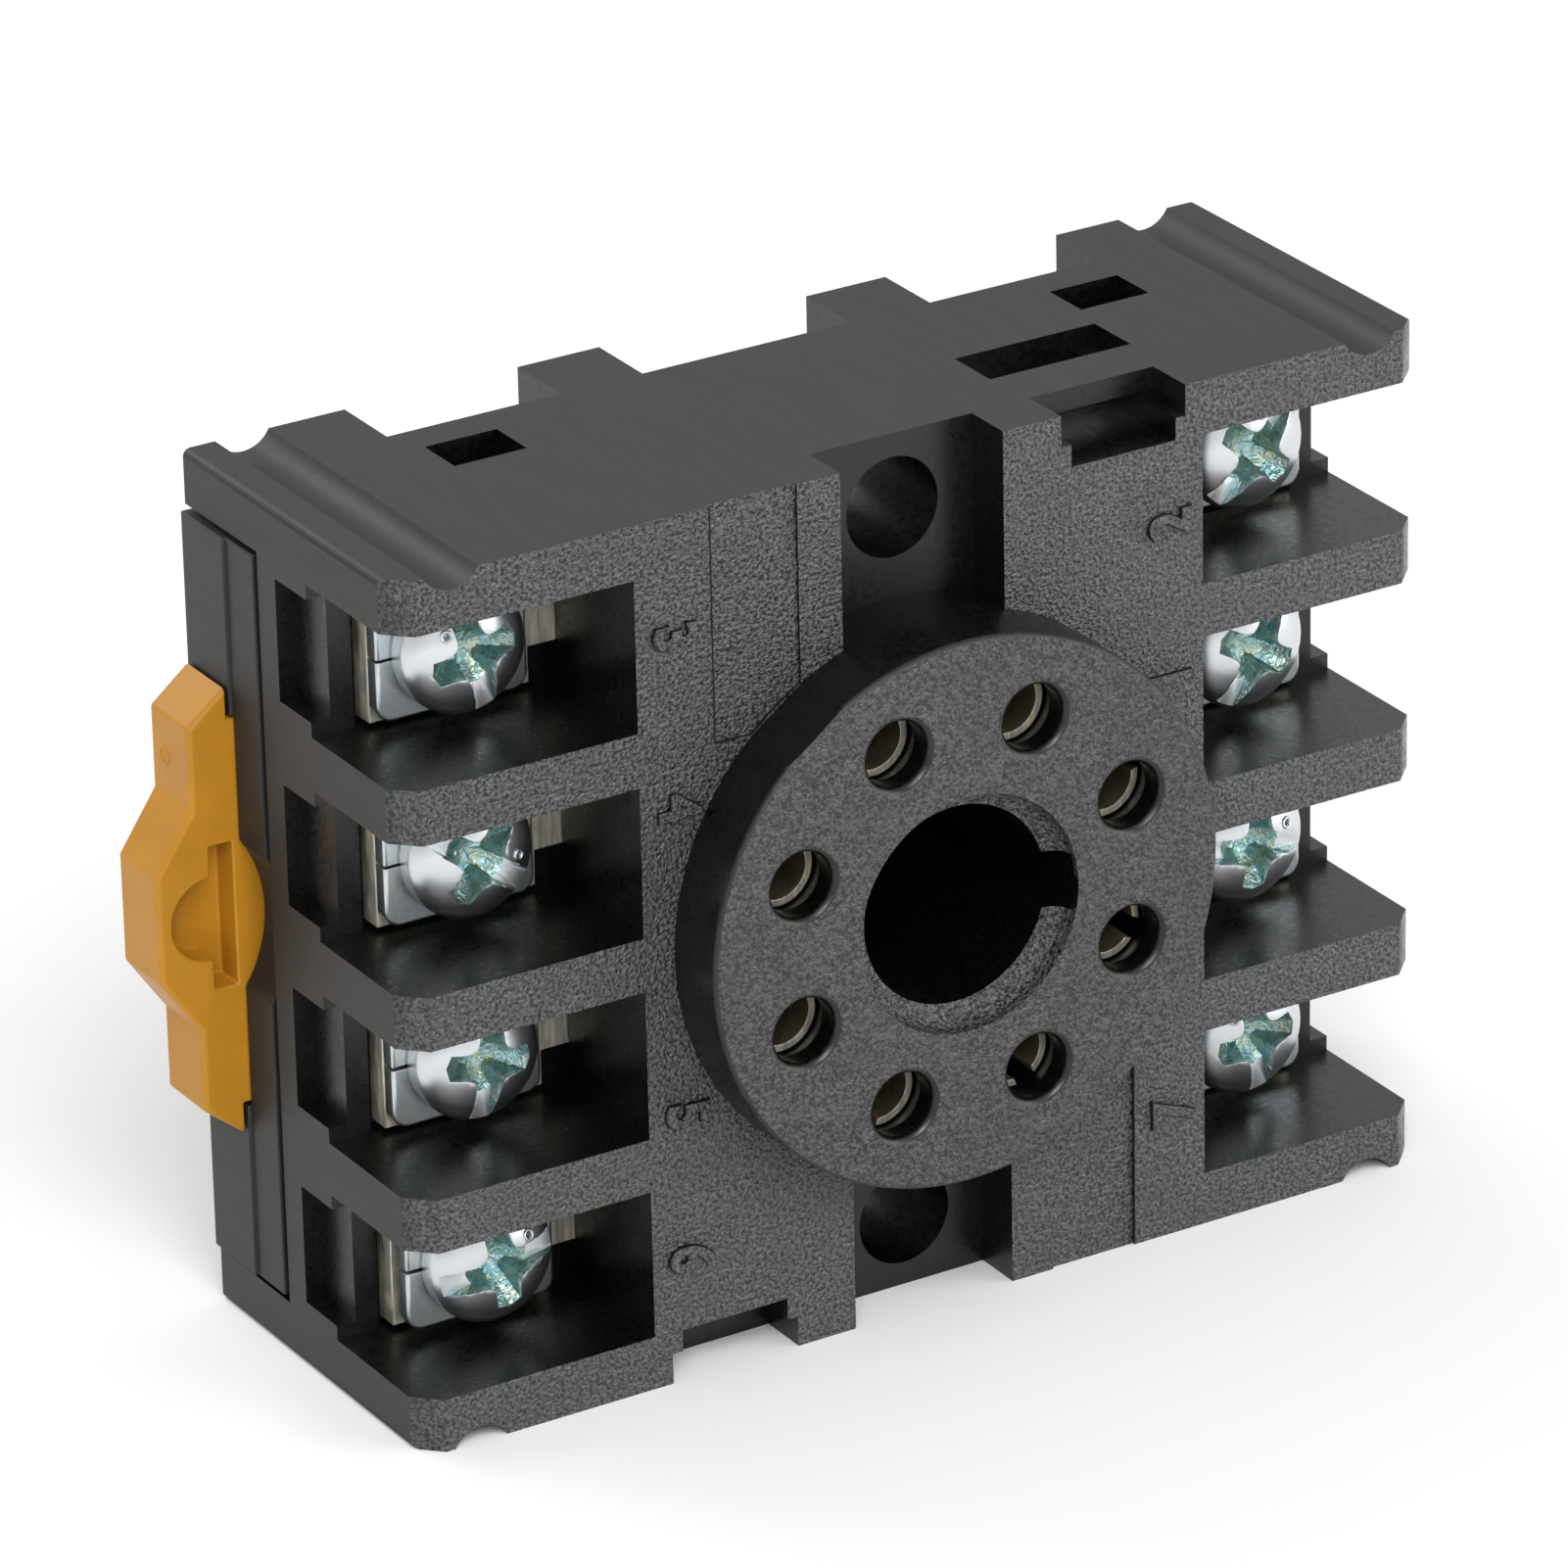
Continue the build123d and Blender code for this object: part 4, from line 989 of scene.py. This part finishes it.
def light_world(scene):
    """An even world: soft as light, white to the camera, and between the two where it is mirrored."""
    scene.world = bpy.data.worlds.new("studio")
    scene.world.use_nodes = True
    tree = scene.world.node_tree
    tree.nodes.clear()
    path = add_node(tree, "ShaderNodeLightPath")
    soft = add_node(tree, "ShaderNodeBackground", {"Color": (1, 1, 1, 1), "Strength": SOFT_LEVEL})
    white = add_node(tree, "ShaderNodeBackground", {"Color": (1, 1, 1, 1), "Strength": WHITE_LEVEL})
    mirrored = add_node(tree, "ShaderNodeMath", {0: path.outputs["Is Glossy Ray"], 1: MIRRORED_SHARE},
                        operation="MULTIPLY").outputs[0]
    seen = add_node(tree, "ShaderNodeMath", {0: path.outputs["Is Camera Ray"], 1: mirrored},
                    operation="MAXIMUM").outputs[0]
    blend = add_node(tree, "ShaderNodeMixShader", {0: seen, 1: soft.outputs[0], 2: white.outputs[0]})
    add_node(tree, "ShaderNodeOutputWorld", {"Surface": blend.outputs[0]})


def camera_matrix():
    """Place and turn of the camera: sight line from yaw and pitch, right and up turned by the roll."""
    yaw, pitch, roll = (radians(v) for v in (CAMERA_YAW, CAMERA_PITCH, CAMERA_ROLL))
    ahead = np.array([np.sin(yaw) * np.cos(pitch), np.cos(yaw) * np.cos(pitch), -np.sin(pitch)])
    right = np.array([np.cos(yaw), -np.sin(yaw), 0.0])
    up = np.cross(right, ahead)
    turned_right = np.cos(roll) * right + np.sin(roll) * up
    turned_up = np.cos(roll) * up - np.sin(roll) * right
    across, rise, away = CAMERA_OFFSET
    matrix = np.eye(4)
    matrix[:3, 0] = turned_right
    matrix[:3, 1] = turned_up
    matrix[:3, 2] = -ahead
    matrix[:3, 3] = -(across * turned_right + rise * turned_up + away * ahead) * MM
    return Matrix(matrix.tolist())


class SOCKET_OT_stage(bpy.types.Operator):
    """Lay the pale floor, hang the lamps and set the camera"""
    bl_idname = "socket.stage"
    bl_label = "Stage"

    def execute(self, context):
        scene = context.scene
        lay_floor(scene.socket_colours)
        for lamp in LAMPS:
            hang_lamp(*lamp)
        light_world(scene)
        camera = bpy.data.cameras.new("camera")
        camera.sensor_width = SENSOR
        camera.lens = SENSOR * FOCAL_PIXELS / FRAME_PIXELS
        camera.clip_start = 0.05
        camera.clip_end = 20.0
        scene.camera = linked("camera", camera)
        scene.camera.matrix_world = camera_matrix()
        scene.view_settings.view_transform = "Standard"
        return {"FINISHED"}


STEPS = (
    SOCKET_OT_housing, SOCKET_OT_numbers, SOCKET_OT_hairlines, SOCKET_OT_pin_lips, SOCKET_OT_base_cover,
    SOCKET_OT_rail_clip, SOCKET_OT_terminal_screws, SOCKET_OT_clamp_washers, SOCKET_OT_contacts,
    SOCKET_OT_stage,
)


class SOCKET_PT_looks(bpy.types.Panel):
    """Buttons for each step, and the sizes and colours that they read"""
    bl_idname = "SOCKET_PT_looks"
    bl_label = "Relay socket"
    bl_space_type = "VIEW_3D"
    bl_region_type = "UI"
    bl_category = "Relay Socket"

    def draw(self, context):
        for step in STEPS:
            self.layout.operator(step.bl_idname)
        for group in (context.scene.socket_sizes, context.scene.socket_colours):
            column = self.layout.column()
            for name in group.__annotations__:
                column.prop(group, name)


CLASSES = (SocketSizes, SocketColours, *STEPS, SOCKET_PT_looks)


def register():
    for kind in CLASSES:
        bpy.utils.register_class(kind)
    bpy.types.Scene.socket_sizes = PointerProperty(type=SocketSizes)
    bpy.types.Scene.socket_colours = PointerProperty(type=SocketColours)


def unregister():
    del bpy.types.Scene.socket_colours
    del bpy.types.Scene.socket_sizes
    for kind in reversed(CLASSES):
        bpy.utils.unregister_class(kind)


def main():
    """Register, then run each step in order."""
    register()
    bpy.ops.socket.housing()
    # painted shadow lines along the label fields' outer edges
    bpy.ops.socket.numbers()
    bpy.ops.socket.hairlines()
    bpy.ops.socket.pin_lips()
    bpy.ops.socket.base_cover()
    bpy.ops.socket.rail_clip()
    bpy.ops.socket.terminal_screws()
    bpy.ops.socket.clamp_washers()
    bpy.ops.socket.contacts()
    bpy.ops.socket.stage()


if __name__ == "__main__":
    main()
